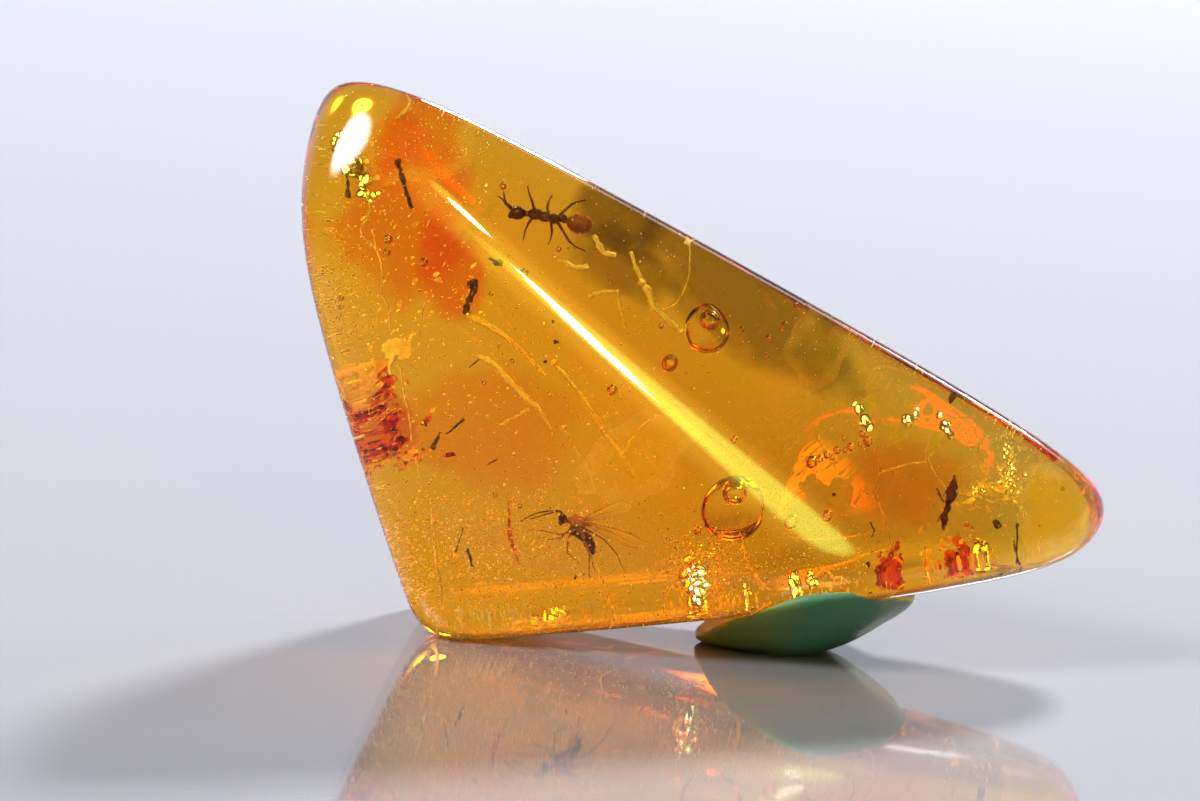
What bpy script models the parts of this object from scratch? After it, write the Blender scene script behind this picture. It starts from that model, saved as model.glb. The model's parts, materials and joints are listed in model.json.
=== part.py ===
"""Insect in amber: a polished, three-sided amber pebble stood on its long edge, held by a pad of putty.

A gnat, an ant, a splinter of bark and a seed husk lie sealed inside it. A solid can't be modelled
closed around another, so the amber is parted in two halves, front and back, with a pocket round each
inclusion. Everything is in one frame: +X along the amber towards its thin tip, +Z up, -Y to the front.
"""

import bmesh
import bpy
from math import asin, atan2, cos, hypot, pi, radians, sin
from mathutils import Matrix, Vector

MM = 0.001
GAP = 0.3  # clearance between pieces that touch in the real thing

# The amber. Each ground face is given by the way it looks out from the stone's heart: its turn about
# the Y axis from +X in degrees, its lean towards the back in degrees, and its distance in mm.
HEART = Vector((-3.044, 0.921, 8.782))
EDGE_SHARPNESS = 14  # the higher, the crisper the polished edges
STONE_DIVISIONS = 4
STONE_HALF_SIZES = Vector((15.4, 5.5, 9.8))  # used only to spread the mesh evenly over its skin
RIM_FACES = (
    (71, 15, 7.49),  # the long sloping ridge, from its shallow middle down to the tip
    (65, 15, 6.31),
    (61, 15, 7.62),
    (54, 14, 11.06),
    (25, 8, 18.94),  # the tip
    (-20, 0, 18.81),
    (-62, -20, 13.65),  # the base
    (-76, -20, 10.30),
    (-81, 0, 7.91),
    (-115, 0, 14.14),  # the lower corner
    (208, 0, 11.19),  # the short side
    (202, 0, 9.91),
    (194, 0, 11.37),
    (170, 4, 13.84),  # the apex
    (130, 10, 18.33),
    (95, 14, 13.01),
)
FRONT_FACES = (
    (164, -83.3, 5.93),  # the broad lower face
    (62, -58.2, 5.98),  # the face under the long ridge
    (69, -80.8, 6.13),  # the narrow face between them
    (25, -56.0, 10.08),  # towards the tip
    (124, -54.0, 11.29),  # towards the apex
)
BACK_FACES = (
    (-157, 86.4, 4.46),
    (37, 74.5, 5.12),
)
PARTING_Y = -1.2

# The gnat, with its points given from the middle of its thorax.
GNAT_AT = Vector((-4.15, -1.7, 4.55))
GNAT_HEAD = (Vector((-0.60, 0, 0.12)), Vector((0.19, 0.21, 0.22)))
GNAT_THORAX = (Vector((0, 0, 0)), Vector((0.36, 0.30, 0.30)))
GNAT_WAIST = (Vector((-0.24, 0, -0.26)), Vector((0.20, 0.18, 0.18)))
GNAT_NECK = ((-0.62, 0, 0.10), (-0.25, 0, 0.06))
GNAT_ABDOMEN = ((-0.16, 0, -0.16), (0.06, 0, -0.38), (0.30, 0, -0.52), (0.50, 0, -0.74), (0.62, 0, -1.12))
GNAT_ABDOMEN_RADII = (0.14, 0.19, 0.20, 0.19, 0.05)
GNAT_LEG_RADIUS = 0.035
GNAT_LIMBS = (
    ((-0.64, -0.05, 0.22), (-0.74, -0.15, 0.42), (-1.34, -0.2, 0.36), (-1.82, -0.2, 0.17), (-2.30, -0.2, -0.18)),
    ((-0.64, 0.05, 0.22), (-0.72, 0.2, 0.36), (-1.20, 0.45, 0.20), (-1.80, 0.55, -0.05)),
    ((-0.25, -0.1, -0.28), (-0.64, -0.3, -0.45), (-1.25, -0.3, -0.34), (-1.88, -0.25, -0.35)),
    ((-0.25, 0.1, -0.28), (-0.34, 0.3, -0.80), (-0.33, 0.35, -1.17), (0.15, 0.35, -1.55)),
    ((0.05, -0.1, -0.20), (0.46, -0.45, -1.02), (0.49, -0.5, -1.62), (0.55, -0.45, -1.94)),
    ((0.15, 0.1, -0.15), (1.00, 0.25, -0.57), (1.50, 0.3, -1.10), (1.85, 0.3, -1.70)),
)
WING_THICKNESS = 0.04
GNAT_WINGS = (
    # root, tip, width
    (Vector((0.10, -0.18, 0.12)), Vector((1.82, -0.42, 0.84)), 0.66),
    (Vector((0.14, 0.10, 0.02)), Vector((2.36, 0.30, -0.62)), 0.62),
)
GNAT_POCKET = (Vector((-4.15, -1.5, 4.05)), Vector((3.05, 1.25, 2.35)))

# The ant, with its points given from the middle of its trunk.
ANT_AT = Vector((-6.35, -0.8, 15.35))
ANT_HEAD = (Vector((-1.16, 0, 0.12)), Vector((0.28, 0.24, 0.24)))
ANT_TRUNK = (Vector((0, 0, 0)), Vector((0.50, 0.24, 0.25)))
ANT_SHOULDER = (Vector((-0.48, 0, 0.10)), Vector((0.30, 0.22, 0.22)))
ANT_WAIST = (Vector((0.58, 0, -0.02)), Vector((0.17, 0.14, 0.16)))
ANT_GASTER = (Vector((1.16, 0, -0.12)), Vector((0.50, 0.36, 0.38)))
ANT_NECK = ((-1.20, 0, 0.12), (-0.55, 0, 0.10))
ANT_SPINE = ((-0.2, 0, 0.0), (0.6, 0, -0.02), (1.1, 0, -0.10))
ANT_LEG_RADIUS = 0.045
ANT_LIMBS = (
    ((-1.30, -0.1, 0.20), (-1.62, -0.2, 0.50), (-1.70, -0.3, 0.95)),
    ((-1.30, 0.1, 0.20), (-1.66, 0.25, 0.42), (-1.95, 0.35, 0.62)),
    ((-0.50, -0.1, 0.10), (-0.62, -0.4, 0.70), (-0.82, -0.4, 1.25)),
    ((-0.50, 0.1, 0.10), (-0.78, 0.45, -0.35), (-0.90, 0.5, -0.95)),
    ((0.00, -0.1, 0.05), (-0.04, -0.45, 0.55), (0.12, -0.45, 1.00)),
    ((0.05, 0.1, -0.05), (0.10, 0.45, -0.60), (0.00, 0.5, -1.10)),
    ((0.30, -0.1, -0.05), (0.85, -0.4, -0.75), (1.45, -0.4, -1.05)),
    ((0.30, 0.1, 0.05), (0.80, 0.45, 0.50), (1.25, 0.5, 0.62)),
)
ANT_POCKET = (Vector((-6.40, -0.9, 15.30)), Vector((2.45, 1.10, 1.75)))

# The bark splinter and the seed husk.
SPLINTER_POINTS = ((9.38, -1.2, 6.95), (9.26, -1.2, 6.40), (9.10, -1.15, 5.85), (8.98, -1.2, 5.25), (8.92, -1.2, 4.80))
SPLINTER_RADII = (0.05, 0.20, 0.17, 0.11, 0.03)
SPLINTER_POCKET = (Vector((9.15, -1.2, 5.90)), Vector((0.85, 0.75, 1.60)))
HUSK_AT = Vector((-11.30, -1.2, 10.50))
HUSK_RADII = Vector((0.56, 0.22, 0.42))
HUSK_TAIL = ((-11.38, -1.2, 10.35), (-11.52, -1.2, 9.90), (-11.50, -1.2, 9.55))
HUSK_TAIL_RADII = (0.14, 0.09, 0.04)
HUSK_POCKET = (Vector((-11.35, -1.2, 10.30)), Vector((1.15, 0.80, 1.25)))

# The putty pad: a blob with a flat underside, into whose top the amber was pressed.
PAD_MIDDLE = Vector((4.42, -0.40))
PAD_HALF_LENGTH = 4.05
PAD_HALF_WIDTH = 5.3
PAD_BOTTOM_DIP = 0.35  # how much of the blob's round underside the table has flattened
PAD_LOW_TOP = 1.45
PAD_HIGH_TOP = 3.65
PAD_LIFT_FROM = 3.0  # right of here the underside curls up off the table
PAD_LIFT_BEND = 0.064  # how fast it curls: its rise over the square of the way gone
PAD_DIVISIONS = 4
PAD_SQUARENESS = 0.81
PAD_RIM_SHARE = 0.36  # how far up the blob its widest part is
PAD_FRONT_LIP = 2.0  # how far the front edge is drawn up the amber


def material(name, colour, roughness, transmission=0.0):
    made = bpy.data.materials.new(name)
    made.use_nodes = True
    shader = made.node_tree.nodes["Principled BSDF"]
    shader.inputs["Base Color"].default_value = (*colour, 1.0)
    shader.inputs["Roughness"].default_value = roughness
    shader.inputs["Metallic"].default_value = 0.0
    shader.inputs["Transmission Weight"].default_value = transmission
    return made


def new_object(name, bm, finish, is_cutter=False):
    """An object of this mesh, given in mm. A cutter or a piece to be fused is hidden."""
    bmesh.ops.recalc_face_normals(bm, faces=bm.faces)
    bmesh.ops.scale(bm, vec=(MM, MM, MM), verts=bm.verts)
    mesh = bpy.data.meshes.new(name)
    bm.to_mesh(mesh)
    bm.free()
    mesh.shade_smooth()
    mesh.set_sharp_from_angle(angle=radians(40))
    if finish:
        mesh.materials.append(finish)
    made = bpy.data.objects.new(name, mesh)
    bpy.context.scene.collection.objects.link(made)
    if is_cutter:
        made.hide_render = True
        made.display_type = "WIRE"
    return made


def boolean(target, operation, *others):
    for other in others:
        cut = target.modifiers.new(operation.title(), "BOOLEAN")
        cut.operation = operation
        cut.object = other
        cut.solver = "EXACT"


# ---------------------------------------------------------------- the amber


def facing(turn, lean):
    turn, lean = radians(turn), radians(lean)
    return Vector((cos(turn) * cos(lean), sin(lean), sin(turn) * cos(lean)))


STONE_FACES = [(facing(turn, lean), reach) for turn, lean, reach in RIM_FACES + FRONT_FACES + BACK_FACES]


def stone_reach(way):
    """How far the amber's skin is from its heart along a unit vector: flat faces, blended at the edges."""
    pull = sum(max(0.0, normal.dot(way) / reach) ** EDGE_SHARPNESS for normal, reach in STONE_FACES)
    return pull ** (-1 / EDGE_SHARPNESS)


def stone_mesh(grown=0.0):
    bm = bmesh.new()
    bmesh.ops.create_icosphere(bm, subdivisions=STONE_DIVISIONS + 1, radius=1)
    for vert in bm.verts:
        way = (vert.co * STONE_HALF_SIZES).normalized()
        vert.co = HEART + way * (stone_reach(way) + grown)
    return bm


def half_stone(name, finish, side, pockets):
    """The part of the stone on one side of the parting plane (side -1 is the front), pocketed."""
    bm = stone_mesh()
    plane = PARTING_Y + side * GAP / 2
    everything = bm.verts[:] + bm.edges[:] + bm.faces[:]
    bmesh.ops.bisect_plane(
        bm, geom=everything, plane_co=(0, plane, 0), plane_no=(0, -side, 0), clear_outer=True
    )
    rim = [edge for edge in bm.edges if edge.is_boundary]
    bmesh.ops.contextual_create(bm, geom=rim)
    half = new_object(name, bm, finish)
    boolean(half, "DIFFERENCE", *pockets)
    return half


def pocket(name, middle, radii):
    bm = bmesh.new()
    bmesh.ops.create_icosphere(bm, subdivisions=3, radius=1)
    bmesh.ops.transform(bm, matrix=Matrix.Translation(middle) @ Matrix.Diagonal((*radii, 1)), verts=bm.verts)
    return new_object(name, bm, None, is_cutter=True)


# ---------------------------------------------------------------- the inclusions


def lobe(middle, radii, divisions=2):
    bm = bmesh.new()
    bmesh.ops.create_icosphere(bm, subdivisions=divisions, radius=1)
    bmesh.ops.transform(bm, matrix=Matrix.Translation(middle) @ Matrix.Diagonal((*radii, 1)), verts=bm.verts)
    return bm


def tube(points, radii, sides):
    """A round piece through these points, as thick as the radii say, with flat ends."""
    points = [Vector(point) for point in points]
    bm = bmesh.new()
    last_ring = None
    for i, point in enumerate(points):
        along = points[min(i + 1, len(points) - 1)] - points[max(i - 1, 0)]
        turn = along.to_track_quat("Z", "Y").to_matrix().to_4x4()
        at_ends = i in (0, len(points) - 1)
        made = bmesh.ops.create_circle(
            bm, cap_ends=at_ends, segments=sides, radius=radii[i], matrix=Matrix.Translation(point) @ turn
        )
        ring = list({edge for vert in made["verts"] for edge in vert.link_edges})
        if last_ring:
            bmesh.ops.bridge_loops(bm, edges=last_ring + ring)
        last_ring = ring
    return bm


def limb(points, radius):
    thins_to = 0.6
    steps = len(points) - 1
    radii = [radius * (1 - (1 - thins_to) * i / steps) for i in range(steps + 1)]
    return tube(points, radii, 5)


def wing(root, tip, width):
    """A thin blade, narrow at its root and round at its tip."""
    bm = bmesh.new()
    bmesh.ops.create_circle(bm, cap_ends=True, segments=18, radius=1)
    length = (tip - root).length
    for vert in bm.verts:
        share = (vert.co.x + 1) / 2
        vert.co.x = share * length
        vert.co.y *= width / 2 * (0.25 + 0.75 * share)
    bmesh.ops.solidify(bm, geom=bm.faces[:], thickness=WING_THICKNESS)
    along = (tip - root).normalized()
    across = Vector((0, -1, 0)).cross(along).normalized()
    frame = Matrix((along, across, along.cross(across))).transposed().to_4x4()
    bmesh.ops.transform(bm, matrix=Matrix.Translation(root) @ frame, verts=bm.verts)
    return bm


def fused(name, finish, meshes, place=Vector()):
    """One closed solid from overlapping ones: the first takes in the others."""
    pieces = []
    for i, bm in enumerate(meshes):
        bmesh.ops.translate(bm, vec=place, verts=bm.verts)
        pieces.append(new_object(name if i == 0 else f"{name}_piece_{i}", bm, finish, is_cutter=i > 0))
    boolean(pieces[0], "UNION", *pieces[1:])
    return pieces[0]


def make_gnat():
    chitin = material("gnat", (0.24, 0.10, 0.025), 0.45)
    meshes = [lobe(*GNAT_THORAX, divisions=3), lobe(*GNAT_HEAD), lobe(*GNAT_WAIST), tube(GNAT_NECK, (0.07, 0.09), 6)]
    meshes.append(tube(GNAT_ABDOMEN, GNAT_ABDOMEN_RADII, 8))
    meshes += [limb(points, GNAT_LEG_RADIUS) for points in GNAT_LIMBS]
    meshes += [wing(*shape) for shape in GNAT_WINGS]
    return fused("gnat", chitin, meshes, GNAT_AT)


def make_ant():
    chitin = material("ant", (0.10, 0.045, 0.018), 0.40)
    meshes = [lobe(*ANT_TRUNK), lobe(*ANT_SHOULDER), lobe(*ANT_HEAD), lobe(*ANT_WAIST), lobe(*ANT_GASTER, divisions=3)]
    meshes += [tube(ANT_NECK, (0.10, 0.12), 6), tube(ANT_SPINE, (0.10, 0.08, 0.08), 6)]
    meshes += [limb(points, ANT_LEG_RADIUS) for points in ANT_LIMBS]
    return fused("ant", chitin, meshes, ANT_AT)


def make_splinter():
    bark = material("bark_splinter", (0.06, 0.03, 0.015), 0.80)
    bm = tube(SPLINTER_POINTS, SPLINTER_RADII, 6)
    return new_object("bark_splinter", bm, bark)


def make_husk():
    dry_skin = material("seed_husk", (0.80, 0.60, 0.28), 0.60)
    return fused("seed_husk", dry_skin, [lobe(HUSK_AT, HUSK_RADII, 3), tube(HUSK_TAIL, HUSK_TAIL_RADII, 6)])


# ---------------------------------------------------------------- the putty pad


def make_pad():
    putty = material("putty_pad", (0.11, 0.27, 0.19), 0.75)
    bm = bmesh.new()
    bmesh.ops.create_icosphere(bm, subdivisions=PAD_DIVISIONS, radius=1)
    for vert in bm.verts:
        x, y, z = vert.co.normalized()
        out = hypot(x, y)
        spread = out ** PAD_SQUARENESS / out if out else 0
        place_x = PAD_MIDDLE.x + PAD_HALF_LENGTH * x * spread
        place_y = PAD_MIDDLE.y + PAD_HALF_WIDTH * y * spread
        share = (place_x - PAD_MIDDLE.x + PAD_HALF_LENGTH) / (2 * PAD_HALF_LENGTH)
        top = PAD_LOW_TOP + (PAD_HIGH_TOP - PAD_LOW_TOP) * share
        lip = PAD_FRONT_LIP * max(0.0, -y * spread) ** 2
        low = lip + PAD_LIFT_BEND * max(0.0, place_x - PAD_LIFT_FROM) ** 2 - PAD_BOTTOM_DIP
        swell = PAD_RIM_SHARE + (1 - PAD_RIM_SHARE if z > 0 else PAD_RIM_SHARE) * asin(z) * 2 / pi
        height = low + (top + lip - low) * swell
        vert.co = Vector((place_x, place_y, max(height, 0.0)))
    pad = new_object("putty_pad", bm, putty)
    dent = new_object("stone_dent", stone_mesh(GAP), None, is_cutter=True)
    boolean(pad, "DIFFERENCE", dent)
    return pad


for old in list(bpy.data.objects):
    bpy.data.objects.remove(old)

clear_amber = material("amber", (0.85, 0.45, 0.03), 0.05, transmission=1.0)
pockets = [
    pocket("gnat_pocket", *GNAT_POCKET),
    pocket("ant_pocket", *ANT_POCKET),
    pocket("splinter_pocket", *SPLINTER_POCKET),
    pocket("husk_pocket", *HUSK_POCKET),
]
half_stone("amber_front", clear_amber, -1, pockets)
half_stone("amber_back", clear_amber, 1, pockets)
make_gnat()
make_ant()
make_splinter()
make_husk()
make_pad()
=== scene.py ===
import json
import bpy
import bmesh
from math import asin, atan2, cos, exp, hypot, pi, radians, sin, sqrt
from mathutils import Matrix, Vector, noise
from mathutils.bvhtree import BVHTree
from random import Random

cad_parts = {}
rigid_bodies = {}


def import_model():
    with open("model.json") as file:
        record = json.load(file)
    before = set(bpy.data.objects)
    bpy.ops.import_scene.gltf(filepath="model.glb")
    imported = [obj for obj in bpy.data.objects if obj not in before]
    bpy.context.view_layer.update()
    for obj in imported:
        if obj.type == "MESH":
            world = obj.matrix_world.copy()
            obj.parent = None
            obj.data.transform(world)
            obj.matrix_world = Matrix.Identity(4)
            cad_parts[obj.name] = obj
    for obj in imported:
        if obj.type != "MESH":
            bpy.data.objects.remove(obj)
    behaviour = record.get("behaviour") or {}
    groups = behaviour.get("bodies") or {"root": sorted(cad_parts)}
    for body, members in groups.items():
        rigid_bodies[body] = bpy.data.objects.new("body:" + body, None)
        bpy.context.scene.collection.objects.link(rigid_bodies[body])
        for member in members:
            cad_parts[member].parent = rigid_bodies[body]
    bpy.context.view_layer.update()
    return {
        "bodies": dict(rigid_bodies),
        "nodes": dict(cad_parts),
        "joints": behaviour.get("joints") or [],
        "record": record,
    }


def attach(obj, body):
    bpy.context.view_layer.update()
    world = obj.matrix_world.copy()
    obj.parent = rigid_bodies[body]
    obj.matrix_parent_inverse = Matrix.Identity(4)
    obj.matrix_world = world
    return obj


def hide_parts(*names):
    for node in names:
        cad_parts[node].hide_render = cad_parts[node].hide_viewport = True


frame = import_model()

# ---------------------------------------------------------------------------------------------------
# The amber stone: fossil resin, ground on a wheel into broad flat faces and polished until the edges
# between them ran round. It is one piece; the solids' two halves only make room for what is sealed in.

MM = 0.001
FOLD = 50  # degrees: a mesh is shaded smooth across any softer edge
AMBER_IOR = 1.54
AMBER_DEPTH_COLOUR = (0.988, 0.82, 0.01, 1.0)
AMBER_DEPTH_DENSITY = 560.0  # to a metre
HEART = Vector((-3.044, 0.921, 8.782))
EDGE_SHARPNESS = 14
STONE_HALF_SIZES = Vector((15.4, 5.5, 9.8))  # used only to spread the mesh evenly over its skin
STONE_DIVISIONS = 7
# Each ground face: its turn about the Y axis from +X and its lean towards the back, in degrees, and
# its distance from the stone's heart.
GROUND_FACES = (
    (71, 15, 7.49),  # the long sloping ridge, from its shallow middle down to the tip
    (65, 15, 6.31),
    (61, 15, 7.62),
    (54, 14, 11.06),
    (25, 8, 18.94),  # the tip
    (-20, 0, 18.81),
    (-62, -20, 13.65),  # the base
    (-76, -20, 10.30),
    (-81, 0, 7.91),
    (-115, 0, 14.14),  # the lower corner
    (208, 0, 11.19),  # the short side
    (202, 0, 9.91),
    (194, 0, 11.37),
    (170, 4, 13.84),  # the apex
    (130, 10, 18.33),
    (95, 14, 13.01),
    (164, -83.3, 5.93),  # the broad lower front face
    (62, -58.2, 5.98),  # the front face under the long ridge
    (69, -80.8, 6.13),  # the narrow front face between them
    (25, -56.0, 10.08),  # the front, towards the tip
    (124, -54.0, 11.29),  # the front, towards the apex
    (-157, 86.4, 4.46),  # the two faces of the back
    (37, 74.5, 5.12),
)


def facing(turn, lean):
    turn, lean = radians(turn), radians(lean)
    return Vector((cos(turn) * cos(lean), sin(lean), sin(turn) * cos(lean)))


STONE_FACES = [(facing(turn, lean), reach) for turn, lean, reach in GROUND_FACES]


def stone_reach(way):
    """How far the skin is from the heart along a unit vector: flat faces, blended at the edges."""
    pull = sum(max(0.0, normal.dot(way) / reach) ** EDGE_SHARPNESS for normal, reach in STONE_FACES)
    return pull ** (-1 / EDGE_SHARPNESS)


def skin_normal(point):
    """The way the skin faces at a point on it."""
    way = (point - HEART).normalized()
    lean = Vector()
    for normal, reach in STONE_FACES:
        lean += normal * (max(0.0, normal.dot(way) / reach) ** (EDGE_SHARPNESS - 1) / reach)
    return lean.normalized()


def finished(name, bm, finish, slot, *nodes):
    """A piece of the object from a mesh in millimetres: smooth but for its folds, on the body, with its
    finish; its slot is not used."""
    bmesh.ops.scale(bm, vec=(MM, MM, MM), verts=bm.verts)
    mesh = bpy.data.meshes.new(name)
    bm.to_mesh(mesh)
    bm.free()
    mesh.shade_smooth()
    mesh.set_sharp_from_angle(angle=radians(FOLD))
    mesh.materials.append(finish)
    piece = bpy.data.objects.new(name, mesh)
    bpy.context.scene.collection.objects.link(piece)
    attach(piece, "root")
    if nodes:
        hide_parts(*nodes)


def new_finish(name, looks):
    """A new material with its shader's sockets set to these values, and its nodes."""
    finish = bpy.data.materials.new(name)
    finish.use_nodes = True
    for socket, value in looks.items():
        finish.node_tree.nodes["Principled BSDF"].inputs[socket].default_value = value
    return finish, finish.node_tree


def amber_finish():
    """Clear resin that takes out more green and nearly all blue the deeper the light goes."""
    clear = {"Base Color": (1, 1, 1, 1), "Roughness": 0.0, "IOR": AMBER_IOR, "Transmission Weight": 1.0}
    finish, tree = new_finish("amber", clear)
    depth = tree.nodes.new("ShaderNodeVolumeAbsorption")
    depth.inputs["Color"].default_value = AMBER_DEPTH_COLOUR
    depth.inputs["Density"].default_value = AMBER_DEPTH_DENSITY
    tree.links.new(depth.outputs["Volume"], tree.nodes["Material Output"].inputs["Volume"])
    return finish


stone_bm = bmesh.new()
bmesh.ops.create_icosphere(stone_bm, subdivisions=STONE_DIVISIONS, radius=1)
for vert in stone_bm.verts:
    way = (vert.co * STONE_HALF_SIZES).normalized()
    vert.co = HEART + way * stone_reach(way)
skin_tree = BVHTree.FromBMesh(stone_bm)
finished("amber_stone", stone_bm, amber_finish(), "amber", "amber_front", "amber_back")

# ---------------------------------------------------------------------------------------------------
# The viewer's eye: a long lens a hand's breadth away, looking a little down on the table and rolled a
# little, so that the stone leans as it does on its putty.

EYE_PITCH = radians(8)
EYE_ROLL = radians(4)
EYE_DISTANCE = 300.0
VIEW_WIDTH = 1200
VIEW_HEIGHT = 801
VIEW_PER_MM = 26.667  # the view's pixels to a millimetre at the stone's heart
VIEW_OF_HEART = (620.0, 400.0)
SENSOR = 36.0
STEP_IN = 0.02  # how far a pixel beside the stone moves towards its heart at a time

ahead = Vector((0, cos(EYE_PITCH), -sin(EYE_PITCH)))
upright = Vector((0, sin(EYE_PITCH), cos(EYE_PITCH)))
eye_right = Vector((cos(EYE_ROLL), 0, 0)) + upright * sin(EYE_ROLL)
eye_up = upright * cos(EYE_ROLL) - Vector((sin(EYE_ROLL), 0, 0))


def in_heart_plane(px, py):
    """Where a pixel of the view falls on the plane through the heart that faces the eye."""
    right, down = (px - VIEW_OF_HEART[0]) / VIEW_PER_MM, (py - VIEW_OF_HEART[1]) / VIEW_PER_MM
    return HEART + eye_right * right - eye_up * down


eye = in_heart_plane(VIEW_WIDTH / 2, VIEW_HEIGHT / 2) - ahead * EYE_DISTANCE
camera_data = bpy.data.cameras.new("eye")
camera_data.sensor_width = SENSOR
camera_data.lens = SENSOR * EYE_DISTANCE / (VIEW_WIDTH / VIEW_PER_MM)
camera_data.clip_start = 0.01
camera_data.clip_end = 20.0
camera = bpy.data.objects.new("eye", camera_data)
bpy.context.scene.collection.objects.link(camera)
axes = Matrix((eye_right, eye_up, -ahead)).transposed().to_4x4()
camera.matrix_world = Matrix.Translation(eye * MM) @ axes
bpy.context.scene.camera = camera


def bent(way, normal):
    """The way that light takes inside the amber when it comes this way to skin that faces so."""
    share, turn = 1 / AMBER_IOR, -normal.dot(way)
    return way * share + normal * (share * turn - sqrt(1 - share * share * (1 - turn * turn)))


def sight(px, py):
    """Where the sight line of a pixel enters the stone, and its way before and after the skin. Beside
    the stone, the nearest pixel towards its heart is taken."""
    while True:
        way = (in_heart_plane(px, py) - eye).normalized()
        entry = skin_tree.ray_cast(eye, way)[0]
        if entry:
            return entry, way, bent(way, skin_normal(entry))
        px += (VIEW_OF_HEART[0] - px) * STEP_IN
        py += (VIEW_OF_HEART[1] - py) * STEP_IN


def seen_at(px, py, depth):
    """The point in the stone that the eye sees at a pixel of the view, where its sight line, bent at
    the skin, comes to this depth: the point's Y."""
    entry, _, way = sight(px, py)
    return entry + way * ((depth - entry.y) / way.y)


# ---------------------------------------------------------------------------------------------------
# The gnat: a two-winged fly 2 mm long, seen from its side, its chitin browned by the resin. Body, legs
# and feelers are modelled as lobes and tubes and then fused to one skin, as they grew.

FUSE_CELL = 0.016
GNAT_AT = Vector((-4.15, -1.7, 4.55))
GNAT_LOBES = (
    # middle, radii, tone from pale to dark
    ((0.00, 0, 0.02), (0.35, 0.29, 0.27), 0.15),
    ((-0.12, 0, 0.10), (0.24, 0.22, 0.21), 0.25),
    ((0.27, 0, -0.02), (0.13, 0.15, 0.11), 0.10),
    ((-0.60, 0, 0.12), (0.17, 0.18, 0.20), 0.75),
    ((-0.66, 0, -0.03), (0.09, 0.10, 0.11), 0.60),
    ((-0.16, 0, -0.30), (0.20, 0.17, 0.18), 1.00),
    ((0.10, 0, -0.24), (0.16, 0.15, 0.13), 0.70),
)
GNAT_NECK = ((-0.62, 0, 0.10), (-0.25, 0, 0.06))
GNAT_NECK_RADII = (0.07, 0.10)
GNAT_ABDOMEN = ((-0.1, 0, -0.22), (0.06, 0, -0.38), (0.3, 0, -0.52), (0.5, 0, -0.74), (0.62, 0, -1.14))
ABDOMEN_RINGS = 8
ABDOMEN_RADIUS = 0.205
RING_GROOVE = 0.10  # share of the radius
RING_ZONE = 0.15
GNAT_FEELERS = (
    (
        (-0.64, -0.05, 0.22), (-0.74, -0.15, 0.42), (-1.34, -0.20, 0.36), (-1.82, -0.20, 0.17),
        (-2.30, -0.20, -0.18),
    ),
    ((-0.64, 0.05, 0.22), (-0.72, 0.2, 0.36), (-1.20, 0.45, 0.20), (-1.80, 0.55, -0.05)),
)
FEELER_BEADS = 15
FEELER_RADII = (0.022, 0.034)  # between the beads and over them
FEELER_TONE = 0.95
GNAT_LEGS = (
    # hip, knee, ankle, the middle of the foot, toe
    (
        (-0.25, -0.1, -0.28), (-0.64, -0.3, -0.45), (-1.25, -0.3, -0.34),
        (-1.6, -0.3, -0.33), (-1.88, -0.25, -0.38),
    ),
    (
        (-0.25, 0.1, -0.28), (-0.34, 0.3, -0.8), (-0.33, 0.35, -1.17),
        (-0.08, 0.35, -1.36), (0.15, 0.35, -1.55),
    ),
    (
        (0.05, -0.1, -0.2), (0.46, -0.45, -1.02), (0.49, -0.5, -1.62),
        (0.5, -0.5, -1.8), (0.57, -0.45, -1.94),
    ),
    (
        (0.05, 0.1, -0.2), (0.3, 0.45, -0.85), (0.62, 0.5, -1.35),
        (0.66, 0.5, -1.6), (0.76, 0.5, -1.8),
    ),
    (
        (0.15, 0.1, -0.15), (1.0, 0.25, -0.57), (1.5, 0.3, -1.1),
        (1.66, 0.3, -1.42), (1.85, 0.3, -1.7),
    ),
    (
        (-0.28, 0.0, -0.25), (-0.62, 0.2, -0.62), (-1.05, 0.3, -0.72),
        (-1.3, 0.3, -0.66), (-1.52, 0.3, -0.7),
    ),
)
LEG_RADII = (0.045, 0.033, 0.024, 0.020, 0.016)
LEG_TONE = 0.30
KNOB_SWELL = 1.15
LIMB_ZONE = 0.06


def along(points, share):
    """A place a share of the way along a smooth curve through these points."""
    points = [Vector(point) for point in points]
    spot = min(max(share, 0.0), 1.0) * (len(points) - 1)
    i = min(int(spot), len(points) - 2)
    t = spot - i
    before = points[i - 1] if i else points[0] * 2 - points[1]
    after = points[i + 2] if i + 2 < len(points) else points[-1] * 2 - points[-2]
    start, end = points[i], points[i + 1]
    return (
        start * 2
        + (end - before) * t
        + (before * 2 - start * 5 + end * 4 - after) * (t * t)
        + (start * 3 - before - end * 3 + after) * (t ** 3)
    ) / 2


def add_lobe(bm, middle, radii, divisions=3):
    """A closed ball, drawn out to these radii. Returns its points."""
    place = Matrix.Translation(middle) @ Matrix.Diagonal((*radii, 1))
    return bmesh.ops.create_icosphere(bm, subdivisions=divisions, radius=1, matrix=place)["verts"]


def add_tube(bm, points, radii, sides=8):
    """A closed round tube through these points, as thick at each as the radii say."""
    points = [Vector(point) for point in points]
    last = None
    for i, point in enumerate(points):
        way = points[min(i + 1, len(points) - 1)] - points[max(i - 1, 0)]
        place = Matrix.Translation(point) @ way.to_track_quat("Z", "Y").to_matrix().to_4x4()
        is_end = i in (0, len(points) - 1)
        made = bmesh.ops.create_circle(bm, cap_ends=is_end, segments=sides, radius=radii[i], matrix=place)
        ring = list({edge for vert in made["verts"] for edge in vert.link_edges})
        if last:
            bmesh.ops.bridge_loops(bm, edges=last + ring)
        last = ring


def add_body(bm, lobes):
    """The lobes of an insect's body, and the zones of tone that they make."""
    for middle, radii, _ in lobes:
        add_lobe(bm, middle, radii)
    return [(middle, sum(radii) / 3, tone) for middle, radii, tone in lobes]


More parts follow.
